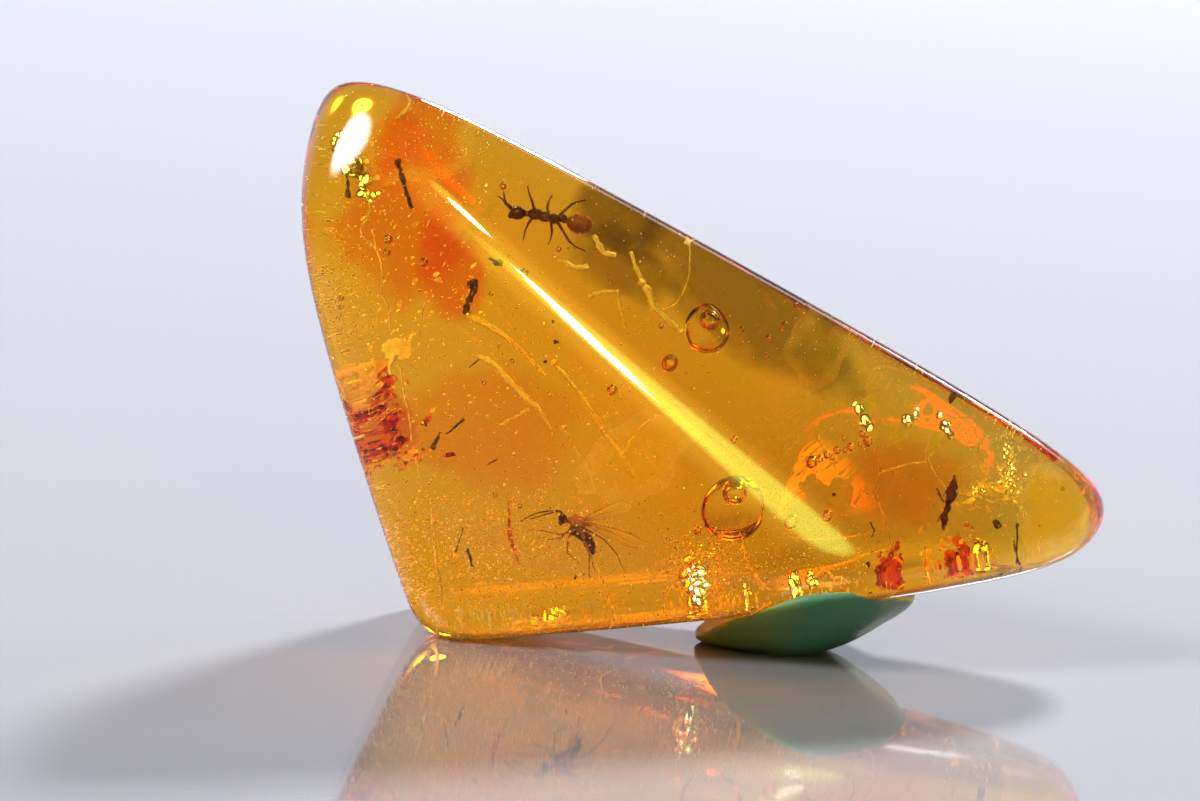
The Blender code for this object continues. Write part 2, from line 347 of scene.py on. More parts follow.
def add_limb(bm, points, radii, tone):
    """A jointed leg with a knob at each joint, and its zones of tone."""
    add_tube(bm, points, radii)
    for joint, radius in zip(points[1:4], radii[1:4]):
        add_lobe(bm, joint, (radius * KNOB_SWELL,) * 3, 2)
    steps = 3 * (len(points) - 1)
    return [(along(points, i / steps), LIMB_ZONE, tone) for i in range(1, steps + 1)]


def fused(bm, cell):
    """The overlapping shapes of a mesh, grown together to one closed skin."""
    bmesh.ops.recalc_face_normals(bm, faces=bm.faces)
    rough = bpy.data.meshes.new("rough")
    bm.to_mesh(rough)
    bm.free()
    holder = bpy.data.objects.new("rough", rough)
    bpy.context.scene.collection.objects.link(holder)
    remesh = holder.modifiers.new("fuse", "REMESH")
    remesh.mode = "VOXEL"
    remesh.voxel_size = cell
    settled = holder.evaluated_get(bpy.context.evaluated_depsgraph_get())
    grown = bpy.data.meshes.new_from_object(settled)
    skin = bmesh.new()
    skin.from_mesh(grown)
    bpy.data.objects.remove(holder)
    bpy.data.meshes.remove(rough)
    bpy.data.meshes.remove(grown)
    every_way = {"use_axis_x": True, "use_axis_y": True, "use_axis_z": True}
    bmesh.ops.smooth_vert(skin, verts=skin.verts, factor=0.5, **every_way)
    return skin


def set_tones(bm, zones):
    """Give each point the tone of the zone it lies nearest to, blended between the two nearest."""
    tone = bm.verts.layers.float.new("tone")
    for vert in bm.verts:
        near = sorted(((vert.co - Vector(middle)).length / size, shade) for middle, size, shade in zones)
        (first, shade_1), (second, shade_2) = near[:2]
        pull = first ** 3 / (first ** 3 + second ** 3 + 1e-9)
        vert[tone] = shade_1 * (1 - pull) + shade_2 * pull


def grain(tree, scale, detail=2.0, distortion=0.0):
    """A cloudy pattern from 0 to 1, fixed to the piece: how many grains to a metre, and how fine."""
    place = tree.nodes.new("ShaderNodeTexCoord")
    clouds = tree.nodes.new("ShaderNodeTexNoise")
    clouds.inputs["Scale"].default_value = scale
    clouds.inputs["Detail"].default_value = detail
    clouds.inputs["Distortion"].default_value = distortion
    tree.links.new(place.outputs["Object"], clouds.inputs["Vector"])
    return clouds.outputs["Fac"]


def stored(tree, name):
    """The number of this name that the mesh's points carry."""
    reader = tree.nodes.new("ShaderNodeAttribute")
    reader.attribute_name = name
    return reader.outputs["Fac"]


def varied(tree, value, pattern, share):
    """The value with this share of a pattern added."""
    total = tree.nodes.new("ShaderNodeMath")
    total.operation = "MULTIPLY_ADD"
    tree.links.new(pattern, total.inputs[0])
    total.inputs[1].default_value = share
    tree.links.new(value, total.inputs[2])
    return total.outputs[0]


def between(tree, value, low, high):
    """The value's place from 0 to 1 between two others, held at both ends."""
    place = tree.nodes.new("ShaderNodeMapRange")
    place.inputs["From Min"].default_value = low
    place.inputs["From Max"].default_value = high
    tree.links.new(value, place.inputs["Value"])
    return place.outputs["Result"]


def coloured(tree, value, first, last, *others):
    """The shader's colour by a value from 0 to 1: each stop is a value and its colour. Returns the
    ramp."""
    stops = tree.nodes.new("ShaderNodeValToRGB")
    ramp = stops.color_ramp
    for stop, (at, colour) in zip(ramp.elements, (first, last)):
        stop.position = at
        stop.color = (*colour, 1)
    for at, colour in others:
        ramp.elements.new(at).color = (*colour, 1)
    tree.links.new(value, stops.inputs["Fac"])
    tree.links.new(stops.outputs["Color"], tree.nodes["Principled BSDF"].inputs["Base Color"])
    return ramp


def embossed(tree, pattern, strength, depth, is_sunk=False):
    """A relief by a pattern, this many metres deep, or its inverse."""
    relief = tree.nodes.new("ShaderNodeBump")
    relief.invert = is_sunk
    relief.inputs["Strength"].default_value = strength
    relief.inputs["Distance"].default_value = depth
    tree.links.new(pattern, relief.inputs["Height"])
    tree.links.new(relief.outputs["Normal"], tree.nodes["Principled BSDF"].inputs["Normal"])


def chitin_finish(name, pale, dark):
    """Insect shell: pale to dark by the tone stored on the mesh, mottled and finely pitted."""
    finish, tree = new_finish(name, {"Roughness": 0.32})
    mottle = grain(tree, 9000.0, 4.0)
    shade = between(tree, varied(tree, stored(tree, "tone"), mottle, 0.7), 0.35, 1.35)
    coloured(tree, shade, (0.0, pale), (1.0, dark))
    embossed(tree, mottle, 0.5, 0.00001)
    return finish


gnat_chitin = chitin_finish("gnat_chitin", (0.40, 0.25, 0.07), (0.045, 0.020, 0.007))
gnat_bm = bmesh.new()
gnat_zones = add_body(gnat_bm, GNAT_LOBES)
add_tube(gnat_bm, GNAT_NECK, GNAT_NECK_RADII)
rings, ring_radii = [], []
for i in range(ABDOMEN_RINGS * 4 + 1):
    share = i / (ABDOMEN_RINGS * 4)
    girth = ABDOMEN_RADIUS * (sin(pi * (0.12 + 0.86 * share)) ** 0.55)
    rings.append(along(GNAT_ABDOMEN, share))
    ring_radii.append(girth * (1 - RING_GROOVE * (i % 4 == 0)))
    if i % 4 == 2:
        gnat_zones.append((rings[-1], RING_ZONE, 0.80 + 0.2 * share))
add_tube(gnat_bm, rings, ring_radii, 16)
for points in GNAT_FEELERS:
    steps = FEELER_BEADS * 2
    beads = [along(points, i / steps) for i in range(steps + 1)]
    girths = [FEELER_RADII[i % 2] * (1.25 - 0.5 * i / len(beads)) for i in range(steps + 1)]
    add_tube(gnat_bm, beads, girths)
    gnat_zones += [(bead, LIMB_ZONE, FEELER_TONE) for bead in beads[2::3]]
for points in GNAT_LEGS:
    gnat_zones += add_limb(gnat_bm, points, LEG_RADII, LEG_TONE)
gnat_skin = fused(gnat_bm, FUSE_CELL)
set_tones(gnat_skin, gnat_zones)
bmesh.ops.translate(gnat_skin, vec=GNAT_AT, verts=gnat_skin.verts)
gnat_skin.normal_update()
gnat_pelt = gnat_skin.copy()
finished("gnat_body", gnat_skin, gnat_chitin, "gnat", "gnat")

# Its eyes: a pair of bulging, close-set compound eyes, darker and glossier than the head.

EYE_MIDDLES = ((-0.63, -0.13, 0.15), (-0.63, 0.13, 0.15))
EYE_RADII = (0.125, 0.10, 0.145)


def eye_finish():
    """Hundreds of tiny domed lenses, each darker at its rim, painted shade in the grooves between them."""
    finish, tree = new_finish("gnat_eye", {"Roughness": 0.12})
    place = tree.nodes.new("ShaderNodeTexCoord")
    lenses = tree.nodes.new("ShaderNodeTexVoronoi")
    lenses.inputs["Scale"].default_value = 60000.0
    tree.links.new(place.outputs["Object"], lenses.inputs["Vector"])
    coloured(tree, lenses.outputs["Distance"], (0.0, (0.10, 0.02, 0.006)), (1.0, (0.02, 0.006, 0.003)))
    embossed(tree, lenses.outputs["Distance"], 0.4, 0.000004, True)
    return finish


eyes_bm = bmesh.new()
for middle in EYE_MIDDLES:
    add_lobe(eyes_bm, GNAT_AT + Vector(middle), EYE_RADII, 4)
finished("gnat_eyes", eyes_bm, eye_finish(), "gnat", "gnat")

# Its wings: two clear, narrow-rooted blades a hundredth of a millimetre thick, stiffened by raised
# veins, of which the front one, the costa, is the thickest and darkest.

WINGS = (
    # root, tip, greatest width, which way the blade is tipped about its length in degrees
    ((0.10, -0.18, 0.12), (1.84, -0.42, 0.86), 0.72, 12),
    ((0.14, 0.10, 0.02), (2.42, 0.30, -0.70), 0.66, -14),
)
WING_THICKNESS = 0.012
WING_CAMBER = 0.05
WING_STEPS = (40, 14)
WING_REACH = 0.996  # share of the length that the blade fills
VEINS = (
    # share of the length and of the half width where it starts, the same where it ends, its bend, its
    # radius at the root and at the tip, and its steps and sides
    ((0.01, 0.98), (0.985, 0.98), 1.0, (0.024, 0.0108), 24, 6),  # the costa
    ((0.03, -0.99), (0.985, -0.99), 1.0, (0.0077, 0.0077), 24, 5),  # the trailing edge
    ((0.02, 0.30), (0.97, 0.25), 1.6, (0.011, 0.0055), 14, 5),
    ((0.02, 0.10), (0.99, -0.20), 1.6, (0.011, 0.0055), 14, 5),
    ((0.35, 0.15), (0.93, -0.52), 1.6, (0.011, 0.0055), 14, 5),
    ((0.02, -0.10), (0.78, -0.80), 1.6, (0.011, 0.0055), 14, 5),
    ((0.02, -0.35), (0.50, -0.92), 1.6, (0.011, 0.0055), 14, 5),
)


def wing_frame(root, tip, roll):
    way = (Vector(tip) - Vector(root)).normalized()
    across = Vector((0, -1, 0)).cross(way).normalized()
    frame = Matrix((way, across, way.cross(across))).transposed().to_4x4()
    return Matrix.Translation(GNAT_AT + Vector(root)) @ frame @ Matrix.Rotation(radians(roll), 4, "X")


def on_wing(wing, share, side):
    """A place on a wing: its share of the length from the root, and side -1 to 1 across it."""
    frame, length, width = wing
    rounding = sqrt(max(0.0, 1 - (max(0.0, share - 0.42) / 0.58) ** 2.6))
    half = width / 2 * (0.10 + 0.90 * share ** 0.8) * rounding
    arch = WING_CAMBER * (1 - side * side) * sin(pi * min(1.0, share + 0.1))
    return frame @ Vector((share * length, side * half, arch))


def add_vein(bm, wing, start, end, bend, radii, steps, sides):
    """A vein along a wing, from one share of its length and half width to another."""
    path, girths = [], []
    for i in range(steps + 1):
        t = i / steps
        side = start[1] + (end[1] - start[1]) * t ** bend
        path.append(on_wing(wing, start[0] + (end[0] - start[0]) * t, side))
        girths.append(radii[0] + (radii[1] - radii[0]) * t)
    add_tube(bm, path, girths, sides)


def wing_finish():
    """Clear membrane, a little milky, that lets some of the light through."""
    finish, tree = new_finish("gnat_wing", {"Roughness": 0.30, "Alpha": 0.75})
    coloured(tree, grain(tree, 4500.0, 5.0), (0.0, (0.74, 0.90, 0.66)), (1.0, (0.82, 1.0, 0.90)))
    return finish


def vein_finish():
    """The tan chitin of veins and hairs, browner in patches."""
    finish, tree = new_finish("gnat_vein", {"Roughness": 0.4})
    coloured(tree, grain(tree, 7000.0), (0.0, (0.20, 0.09, 0.02)), (1.0, (0.50, 0.32, 0.10)))
    return finish


def pour(batch, bm):
    """Add one mesh to another, and empty it."""
    loose = bpy.data.meshes.new("loose")
    batch.to_mesh(loose)
    bm.from_mesh(loose)
    batch.free()
    bpy.data.meshes.remove(loose)


wings_bm, veins_bm = bmesh.new(), bmesh.new()
for root, tip, width, roll in WINGS:
    wing = (wing_frame(root, tip, roll), (Vector(tip) - Vector(root)).length, width)
    blade = bmesh.new()
    bmesh.ops.create_grid(blade, x_segments=WING_STEPS[0], y_segments=WING_STEPS[1], size=1)
    for vert in blade.verts:
        vert.co = on_wing(wing, WING_REACH * (vert.co.x + 1) / 2, vert.co.y)
    bmesh.ops.solidify(blade, geom=blade.faces[:], thickness=WING_THICKNESS)
    bmesh.ops.recalc_face_normals(blade, faces=blade.faces)
    pour(blade, wings_bm)
    for vein in VEINS:
        add_vein(veins_bm, wing, *vein)
bmesh.ops.recalc_face_normals(veins_bm, faces=veins_bm.faces)
finished("gnat_wings", wings_bm, wing_finish(), "gnat", "gnat")
finished("gnat_veins", veins_bm, vein_finish(), "gnat", "gnat")

# Its bristles: stiff tapering hairs on the back, the belly rings, the legs and the feelers, a tenth of
# a millimetre long and less.

BRISTLE_COUNT = 420
BRISTLE_LENGTH = (0.05, 0.13)
BRISTLE_RADIUS = 0.006
BRISTLE_SWEEP = (0.35, 0.2, -0.3)  # back, to either side, down
BRISTLE_CURL = Vector((0.02, 0, -0.02))
BRISTLE_ROOT = 0.01


def bristles(skin, count, length, seed):
    """Hairs that stand out of a skin mesh, swept back a little, at places drawn at random."""
    bm = bmesh.new()
    draw = Random(seed)
    back, aside, down = BRISTLE_SWEEP
    girths = (BRISTLE_RADIUS, BRISTLE_RADIUS * 0.7, BRISTLE_RADIUS * 0.2)
    skin.verts.ensure_lookup_table()
    for _ in range(count):
        vert = skin.verts[draw.randrange(len(skin.verts))]
        reach = draw.uniform(*length)
        way = (vert.normal + Vector((back, draw.uniform(-aside, aside), down))).normalized()
        tip = vert.co + way * reach + BRISTLE_CURL
        add_tube(bm, (vert.co - way * BRISTLE_ROOT, vert.co + way * reach * 0.5, tip), girths, 3)
    bmesh.ops.recalc_face_normals(bm, faces=bm.faces)
    return bm


gnat_hairs = bristles(gnat_pelt, BRISTLE_COUNT, BRISTLE_LENGTH, 11)
gnat_pelt.free()
finished("gnat_bristles", gnat_hairs, vein_finish(), "gnat", "gnat")

# ---------------------------------------------------------------------------------------------------
# The ant: a small worker 3.5 mm long, near the stone's apex, with a dark head and waist and a rounder,
# paler gaster, its legs spread as it struggled in the resin.

ANT_CELL = 0.020
ANT_AT = Vector((-6.35, -0.8, 15.35))
ANT_LOBES = (
    ((-1.16, 0, 0.12), (0.30, 0.25, 0.25), 0.95),
    ((-1.38, 0, 0.02), (0.13, 0.18, 0.12), 0.80),
    ((-0.50, 0, 0.12), (0.30, 0.22, 0.22), 0.80),
    ((-0.14, 0, 0.04), (0.26, 0.20, 0.20), 0.70),
    ((0.20, 0, 0.00), (0.24, 0.20, 0.21), 0.85),
    ((0.56, 0, 0.02), (0.13, 0.12, 0.18), 0.95),
    ((1.16, 0, -0.12), (0.50, 0.36, 0.37), 0.35),
)
ANT_SPINE = ((-1.20, 0, 0.12), (-0.50, 0, 0.10), (0.20, 0, 0.0), (0.58, 0, -0.04), (0.95, 0, -0.08))
ANT_SPINE_RADII = (0.09, 0.13, 0.11, 0.075, 0.10)
ANT_LIMBS = (
    ((-1.30, -0.1, 0.20), (-1.62, -0.2, 0.50), (-1.66, -0.28, 0.72), (-1.70, -0.3, 0.95)),
    ((-1.30, 0.1, 0.20), (-1.66, 0.25, 0.42), (-1.80, 0.3, 0.54), (-1.95, 0.35, 0.62)),
    ((-0.50, -0.1, 0.10), (-0.62, -0.4, 0.70), (-0.74, -0.42, 0.98), (-0.82, -0.4, 1.25)),
    ((-0.50, 0.1, 0.10), (-0.78, 0.45, -0.35), (-0.88, 0.5, -0.66), (-0.90, 0.5, -0.95)),
    ((0.00, -0.1, 0.05), (-0.04, -0.45, 0.55), (0.02, -0.47, 0.80), (0.12, -0.45, 1.00)),
    ((0.05, 0.1, -0.05), (0.10, 0.45, -0.60), (0.08, 0.5, -0.86), (0.00, 0.5, -1.10)),
    ((0.30, -0.1, -0.05), (0.85, -0.4, -0.75), (1.12, -0.42, -0.92), (1.45, -0.4, -1.05)),
    ((0.30, 0.1, 0.05), (0.80, 0.45, 0.50), (1.02, 0.5, 0.57), (1.25, 0.5, 0.62)),
)
ANT_LIMB_RADII = (0.060, 0.048, 0.034, 0.026)
ANT_LIMB_TONE = 0.75
GASTER_REACH = 0.56
GASTER_SEAMS = (-0.22, 0.02, 0.24)
SEAM_WIDTH = 0.022
SEAM_DEPTH = 0.02
ANT_BRISTLES = 260
ANT_BRISTLE_LENGTH = (0.05, 0.11)

ant_bm = bmesh.new()
ant_zones = add_body(ant_bm, ANT_LOBES)
add_tube(ant_bm, ANT_SPINE, ANT_SPINE_RADII, 10)
for points in ANT_LIMBS:
    ant_zones += add_limb(ant_bm, points, ANT_LIMB_RADII, ANT_LIMB_TONE)
ant_skin = fused(ant_bm, ANT_CELL)
gaster = Vector(ANT_LOBES[-1][0])
for vert in ant_skin.verts:
    out = vert.co - gaster
    if out.length < GASTER_REACH:
        groove = sum(exp(-((out.x - seam) / SEAM_WIDTH) ** 2) for seam in GASTER_SEAMS)
        vert.co -= out.normalized() * SEAM_DEPTH * groove
set_tones(ant_skin, ant_zones)
bmesh.ops.translate(ant_skin, vec=ANT_AT, verts=ant_skin.verts)
ant_skin.normal_update()
ant_hairs = bristles(ant_skin, ANT_BRISTLES, ANT_BRISTLE_LENGTH, 12)
ant_chitin = chitin_finish("ant_chitin", (0.34, 0.09, 0.01), (0.020, 0.006, 0.002))
finished("ant_body", ant_skin, ant_chitin, "ant", "ant")
finished("ant_bristles", ant_hairs, vein_finish(), "ant", "ant")

# ---------------------------------------------------------------------------------------------------
# The bark splinter: a dark, torn slip of bark 2 mm long that fell into the resin near the tip.

SPLINTER_DEPTH = -1.2
SPLINTER_POINTS = (
    # place, radius
    ((9.38, -1.2, 6.95), 0.05),
    ((9.26, -1.2, 6.40), 0.20),
    ((9.10, -1.15, 5.85), 0.12),
    ((8.98, -1.2, 5.25), 0.13),
    ((8.92, -1.2, 4.80), 0.03),
)
SPLINTER_STEPS = 40
SPLINTER_FLATNESS = 0.6
SPLINTER_TEAR = 0.09
BARBS = (
    # which side it stands out to, and the shares of the splinter's length at its foot and its tip
    (-1, 0.15, 0.42),
    (1, 0.55, 0.30),
    (-1, 0.62, 0.86),
)
BARB_REACH = 0.26
BARB_RADII = (0.06, 0.035, 0.008)
TEAR_SEED = 7

noise.seed_set(TEAR_SEED)


def roughen(bm, size, depth, seed):
    """Push every point about, the same way as its near neighbours, so that a surface looks torn."""
    for vert in bm.verts:
        vert.co += noise.turbulence_vector(vert.co / size + Vector((seed, 0, 0)), 3, False) * depth


def debris_finish(name, pale, dark, fineness=5000.0, roughness=0.75):
    """Dry plant matter of uneven tone, darker in the hollows of its relief as painted shade and paler on its
    ridges.
    """
    finish, tree = new_finish(name, {"Roughness": roughness})
    tone_and_shade = grain(tree, fineness, 6.0)
    coloured(tree, tone_and_shade, (0.35, dark), (0.70, pale))
    embossed(tree, tone_and_shade, 0.7, 0.00002)
    return finish


bark_finish = debris_finish("bark", (0.20, 0.07, 0.02), (0.012, 0.005, 0.003))
splinter_bm = bmesh.new()
spine = [place for place, _ in SPLINTER_POINTS]
thickness = [(radius, 0, 0) for _, radius in SPLINTER_POINTS]
shares = [i / SPLINTER_STEPS for i in range(SPLINTER_STEPS + 1)]
splinter_radii = [along(thickness, share).x for share in shares]
add_tube(splinter_bm, [along(spine, share) for share in shares], splinter_radii, 14)
for vert in splinter_bm.verts:
    vert.co.y = SPLINTER_DEPTH + (vert.co.y - SPLINTER_DEPTH) * SPLINTER_FLATNESS
roughen(splinter_bm, 0.22, SPLINTER_TEAR, 3)
for side, start, end in BARBS:
    foot, tip = along(spine, start), along(spine, end) + Vector((side * BARB_REACH, 0, 0))
    knee = (foot + tip) / 2 + Vector((side * 0.05, 0, 0))
    add_tube(splinter_bm, (foot, knee, tip), BARB_RADII, 6)
bmesh.ops.recalc_face_normals(splinter_bm, faces=splinter_bm.faces)
finished("bark_splinter", splinter_bm, bark_finish, "bark", "bark_splinter")

# ---------------------------------------------------------------------------------------------------
# The seed husk: a pale, dished scale with a short withered stalk.

HUSK_AT = Vector((-11.30, -1.2, 10.50))
HUSK_RADII = Vector((0.56, 0.20, 0.42))
HUSK_RIBS = 11
HUSK_RIB_HEIGHT = 0.05
HUSK_DISH = (0.55, 0.15)  # how far the front is dished and the back swells, as shares of its radius
HUSK_STALK = ((-11.36, -1.2, 10.35), (-11.52, -1.2, 9.90), (-11.50, -1.2, 9.55))
STALK_RADIUS = 0.13
STALK_STEPS = 12

husk_bm = bmesh.new()
add_lobe(husk_bm, (0, 0, 0), (1, 1, 1), 5)
for vert in husk_bm.verts:
    turn, out = atan2(vert.co.z, vert.co.x), hypot(vert.co.x, vert.co.z)
    rib = 1 + HUSK_RIB_HEIGHT * cos(HUSK_RIBS * turn) * out
    dish = (-HUSK_DISH[0] if vert.co.y < 0 else HUSK_DISH[1]) * (1 - out * out)
    vert.co = Vector((vert.co.x * rib, vert.co.y * 0.6 - dish, vert.co.z * rib)) * HUSK_RADII + HUSK_AT
stalk = [along(HUSK_STALK, i / STALK_STEPS) for i in range(STALK_STEPS + 1)]
stalk_radii = [STALK_RADIUS * (1 - 0.8 * i / STALK_STEPS) for i in range(STALK_STEPS + 1)]
add_tube(husk_bm, stalk, stalk_radii, 10)
roughen(husk_bm, 0.30, 0.035, 5)
husk_finish = debris_finish("seed_husk", (0.88, 1.0, 0.95), (0.80, 0.84, 0.60), 7000.0)
bmesh.ops.recalc_face_normals(husk_bm, faces=husk_bm.faces)
finished("seed_husk", husk_bm, husk_finish, "husk", "seed_husk")

# ---------------------------------------------------------------------------------------------------
# Fibres and hairs: stalks, rootlets and plant hairs that the flowing resin swept along. Most have
# shrunk to pale, air-filled tubes, so they look lighter than the amber.

FIBRES = (
    # depth, radius at the start and at the end, and the places in the view that it passes
    (-1.2, 0.09, 0.05, ((469, 316), (485, 324), (506, 337), (527, 356), (546, 375))),
    (-1.8, 0.08, 0.11, ((474, 354), (493, 364), (511, 383), (527, 399))),
    (-1.8, 0.11, 0.02, ((527, 399), (541, 412), (554, 437))),
    (-1.7, 0.03, 0.05, ((500, 425), (515, 417), (529, 409))),
    (-1.4, 0.06, 0.08, ((554, 363), (568, 378), (584, 399), (597, 420))),
    (-1.4, 0.08, 0.02, ((597, 420), (605, 434), (621, 453), (632, 471), (640, 486))),
    (-1.3, 0.04, 0.02, ((599, 419), (609, 415), (619, 412))),
    (-1.0, 0.03, 0.02, ((622, 456), (637, 431), (656, 415))),
    (-1.9, 0.015, 0.01, ((564, 428), (572, 444), (581, 458), (590, 474), (594, 490))),
    (-2.0, 0.03, 0.02, ((596, 563), (603, 581), (609, 601), (613, 615))),
    (-0.6, 0.05, 0.07, ((631, 252), (636, 268), (643, 282))),
    (-0.8, 0.12, 0.07, ((641, 282), (648, 291), (653, 304), (662, 314), (672, 324), (681, 332))),
    (-0.2, 0.02, 0.02, ((660, 310), (674, 305), (683, 293), (689, 273), (690, 250), (686, 238))),
    (-1.0, 0.09, 0.07, ((594, 235), (598, 243), (603, 252), (609, 254), (616, 255))),
    (-1.2, 0.05, 0.08, ((562, 259), (570, 265), (579, 268), (588, 266))),
    (-0.6, 0.08, 0.06, ((589, 297), (600, 292), (617, 292))),
    (-0.6, 0.07, 0.05, ((617, 290), (619, 303), (622, 315), (624, 327))),
    (0.5, 0.04, 0.02, ((396, 119), (404, 112), (409, 106))),
    (-0.4, 0.03, 0.02, ((927, 456), (934, 472), (941, 482), (948, 490))),
    (-0.4, 0.02, 0.02, ((880, 472), (898, 467), (908, 464), (926, 462))),
    (-1.4, 0.04, 0.06, ((742, 540), (744, 552), (751, 569), (758, 580), (764, 588))),
    (-1.4, 0.04, 0.02, ((758, 580), (766, 587), (770, 590))),
    (-1.6, 0.03, 0.02, ((674, 540), (680, 556), (687, 574))),
    (-1.3, 0.04, 0.03, ((827, 571), (833, 578), (832, 591))),
    (-1.3, 0.03, 0.02, ((833, 578), (840, 577), (848, 581))),
    (0.8, 0.03, 0.02, ((974, 426), (979, 443), (977, 456))),
    (-0.5, 0.03, 0.02, ((818, 436), (822, 447), (825, 455))),
)
FIBRE_KNOTS = (
    # depth, radius, place
    (-1.9, 0.12, (564, 428)),
    (-1.4, 0.13, (554, 363)),
    (-1.8, 0.13, (527, 399)),
    (-1.4, 0.11, (602, 428)),
    (-0.8, 0.15, (642, 283)),
    (-0.8, 0.12, (652, 303)),
    (-0.8, 0.12, (681, 332)),
)


FIBRE_SWELL = 1.35
LEAST_COVER = 0.25


def sunk(point, cover=LEAST_COVER):
    """The point, drawn towards the heart where it would come closer than this to the skin."""
    out = point - HEART
    return HEART + out.normalized() * min(out.length, stone_reach(out.normalized()) - cover)


def add_strands(bm, strands, sides, swell=1.0):
    """Tubes past places in the view, each thinning or thickening from one end to the other."""
    for depth, start, end, places in strands:
        points = [sunk(seen_at(px, py, depth)) for px, py in places]
        steps = 6 * (len(points) - 1)
        path = [along(points, i / steps) for i in range(steps + 1)]
        radii = []
        for i, point in enumerate(path):
            lumps = 1 + 0.5 * noise.noise(point * 5)
            radii.append(swell * (start + (end - start) * i / steps) * lumps)
        add_tube(bm, path, radii, sides)


def add_crumbs(bm, crumbs):
    for depth, radius, place in crumbs:
        add_lobe(bm, sunk(seen_at(*place, depth)), (radius,) * 3)


fibre_bm = bmesh.new()
add_strands(fibre_bm, FIBRES, 6, FIBRE_SWELL)
add_crumbs(fibre_bm, FIBRE_KNOTS)
roughen(fibre_bm, 0.12, 0.012, 7)
fibre_finish = debris_finish("plant_fibre", (0.88, 1.0, 0.90), (0.80, 0.84, 0.50), 8000.0, 0.4)
bmesh.ops.recalc_face_normals(fibre_bm, faces=fibre_bm.faces)
finished("plant_fibres", fibre_bm, fibre_finish, "husk")

# Dark debris: crumbs of bark, frass and leaf between the fibres.

SCRAPS = (
    # depth, radius at the start and at the end, places in the view
    (-0.9, 0.09, 0.05, ((397, 159), (402, 176), (407, 194), (412, 208))),
    (-0.9, 0.03, 0.08, ((347, 175), (348, 186), (348, 197))),
    (-1.2, 0.16, 0.10, ((471, 280), (474, 290), (468, 303), (466, 315))),
    (-1.0, 0.05, 0.10, ((489, 258), (496, 262), (503, 264))),
    (-1.6, 0.10, 0.05, ((432, 449), (437, 439), (440, 432))),
    (-1.6, 0.03, 0.06, ((446, 434), (455, 427), (464, 419))),
    (-1.6, 0.02, 0.05, ((470, 368), (475, 362), (481, 357))),
    (-1.8, 0.02, 0.03, ((463, 528), (459, 542), (455, 552))),
    (-1.8, 0.05, 0.03, ((467, 549), (470, 558), (473, 568))),
    (-1.8, 0.02, 0.03, ((487, 465), (493, 461), (497, 458))),
    (0.6, 0.04, 0.02, ((1018, 523), (1017, 540), (1016, 556), (1017, 568))),
    (-1.0, 0.03, 0.01, ((870, 522), (874, 530), (872, 537))),
    (-0.3, 0.04, 0.02, ((937, 489), (941, 497), (944, 503))),
)
CRUMBS = (
    # depth, radius, place
    (0.8, 0.11, (952, 398)),
    (0.6, 0.15, (997, 524)),
    (1.0, 0.09, (1063, 489)),
    (0.8, 0.05, (1040, 525)),
    (-1.6, 0.07, (426, 425)),
    (-1.8, 0.06, (575, 577)),
    (-1.5, 0.07, (556, 342)),
    (-1.2, 0.06, (545, 362)),
    (-1.5, 0.06, (569, 322)),
    (-1.5, 0.06, (553, 322)),
    (-1.0, 0.05, (834, 495)),
    (-1.1, 0.07, (870, 593)),
)

scrap_bm = bmesh.new()
add_strands(scrap_bm, SCRAPS, 8)
add_crumbs(scrap_bm, CRUMBS)
roughen(scrap_bm, 0.16, 0.05, 9)
scrap_finish = debris_finish("dark_debris", (0.16, 0.10, 0.04), (0.015, 0.012, 0.006))
bmesh.ops.recalc_face_normals(scrap_bm, faces=scrap_bm.faces)
finished("dark_debris", scrap_bm, scrap_finish, "bark")

# ---------------------------------------------------------------------------------------------------
# Bubbles: gas and water that the resin shut in. The two big ones hold water with a gas bubble in it;
# the small ones are gas alone, and bead into a chain near the tip.

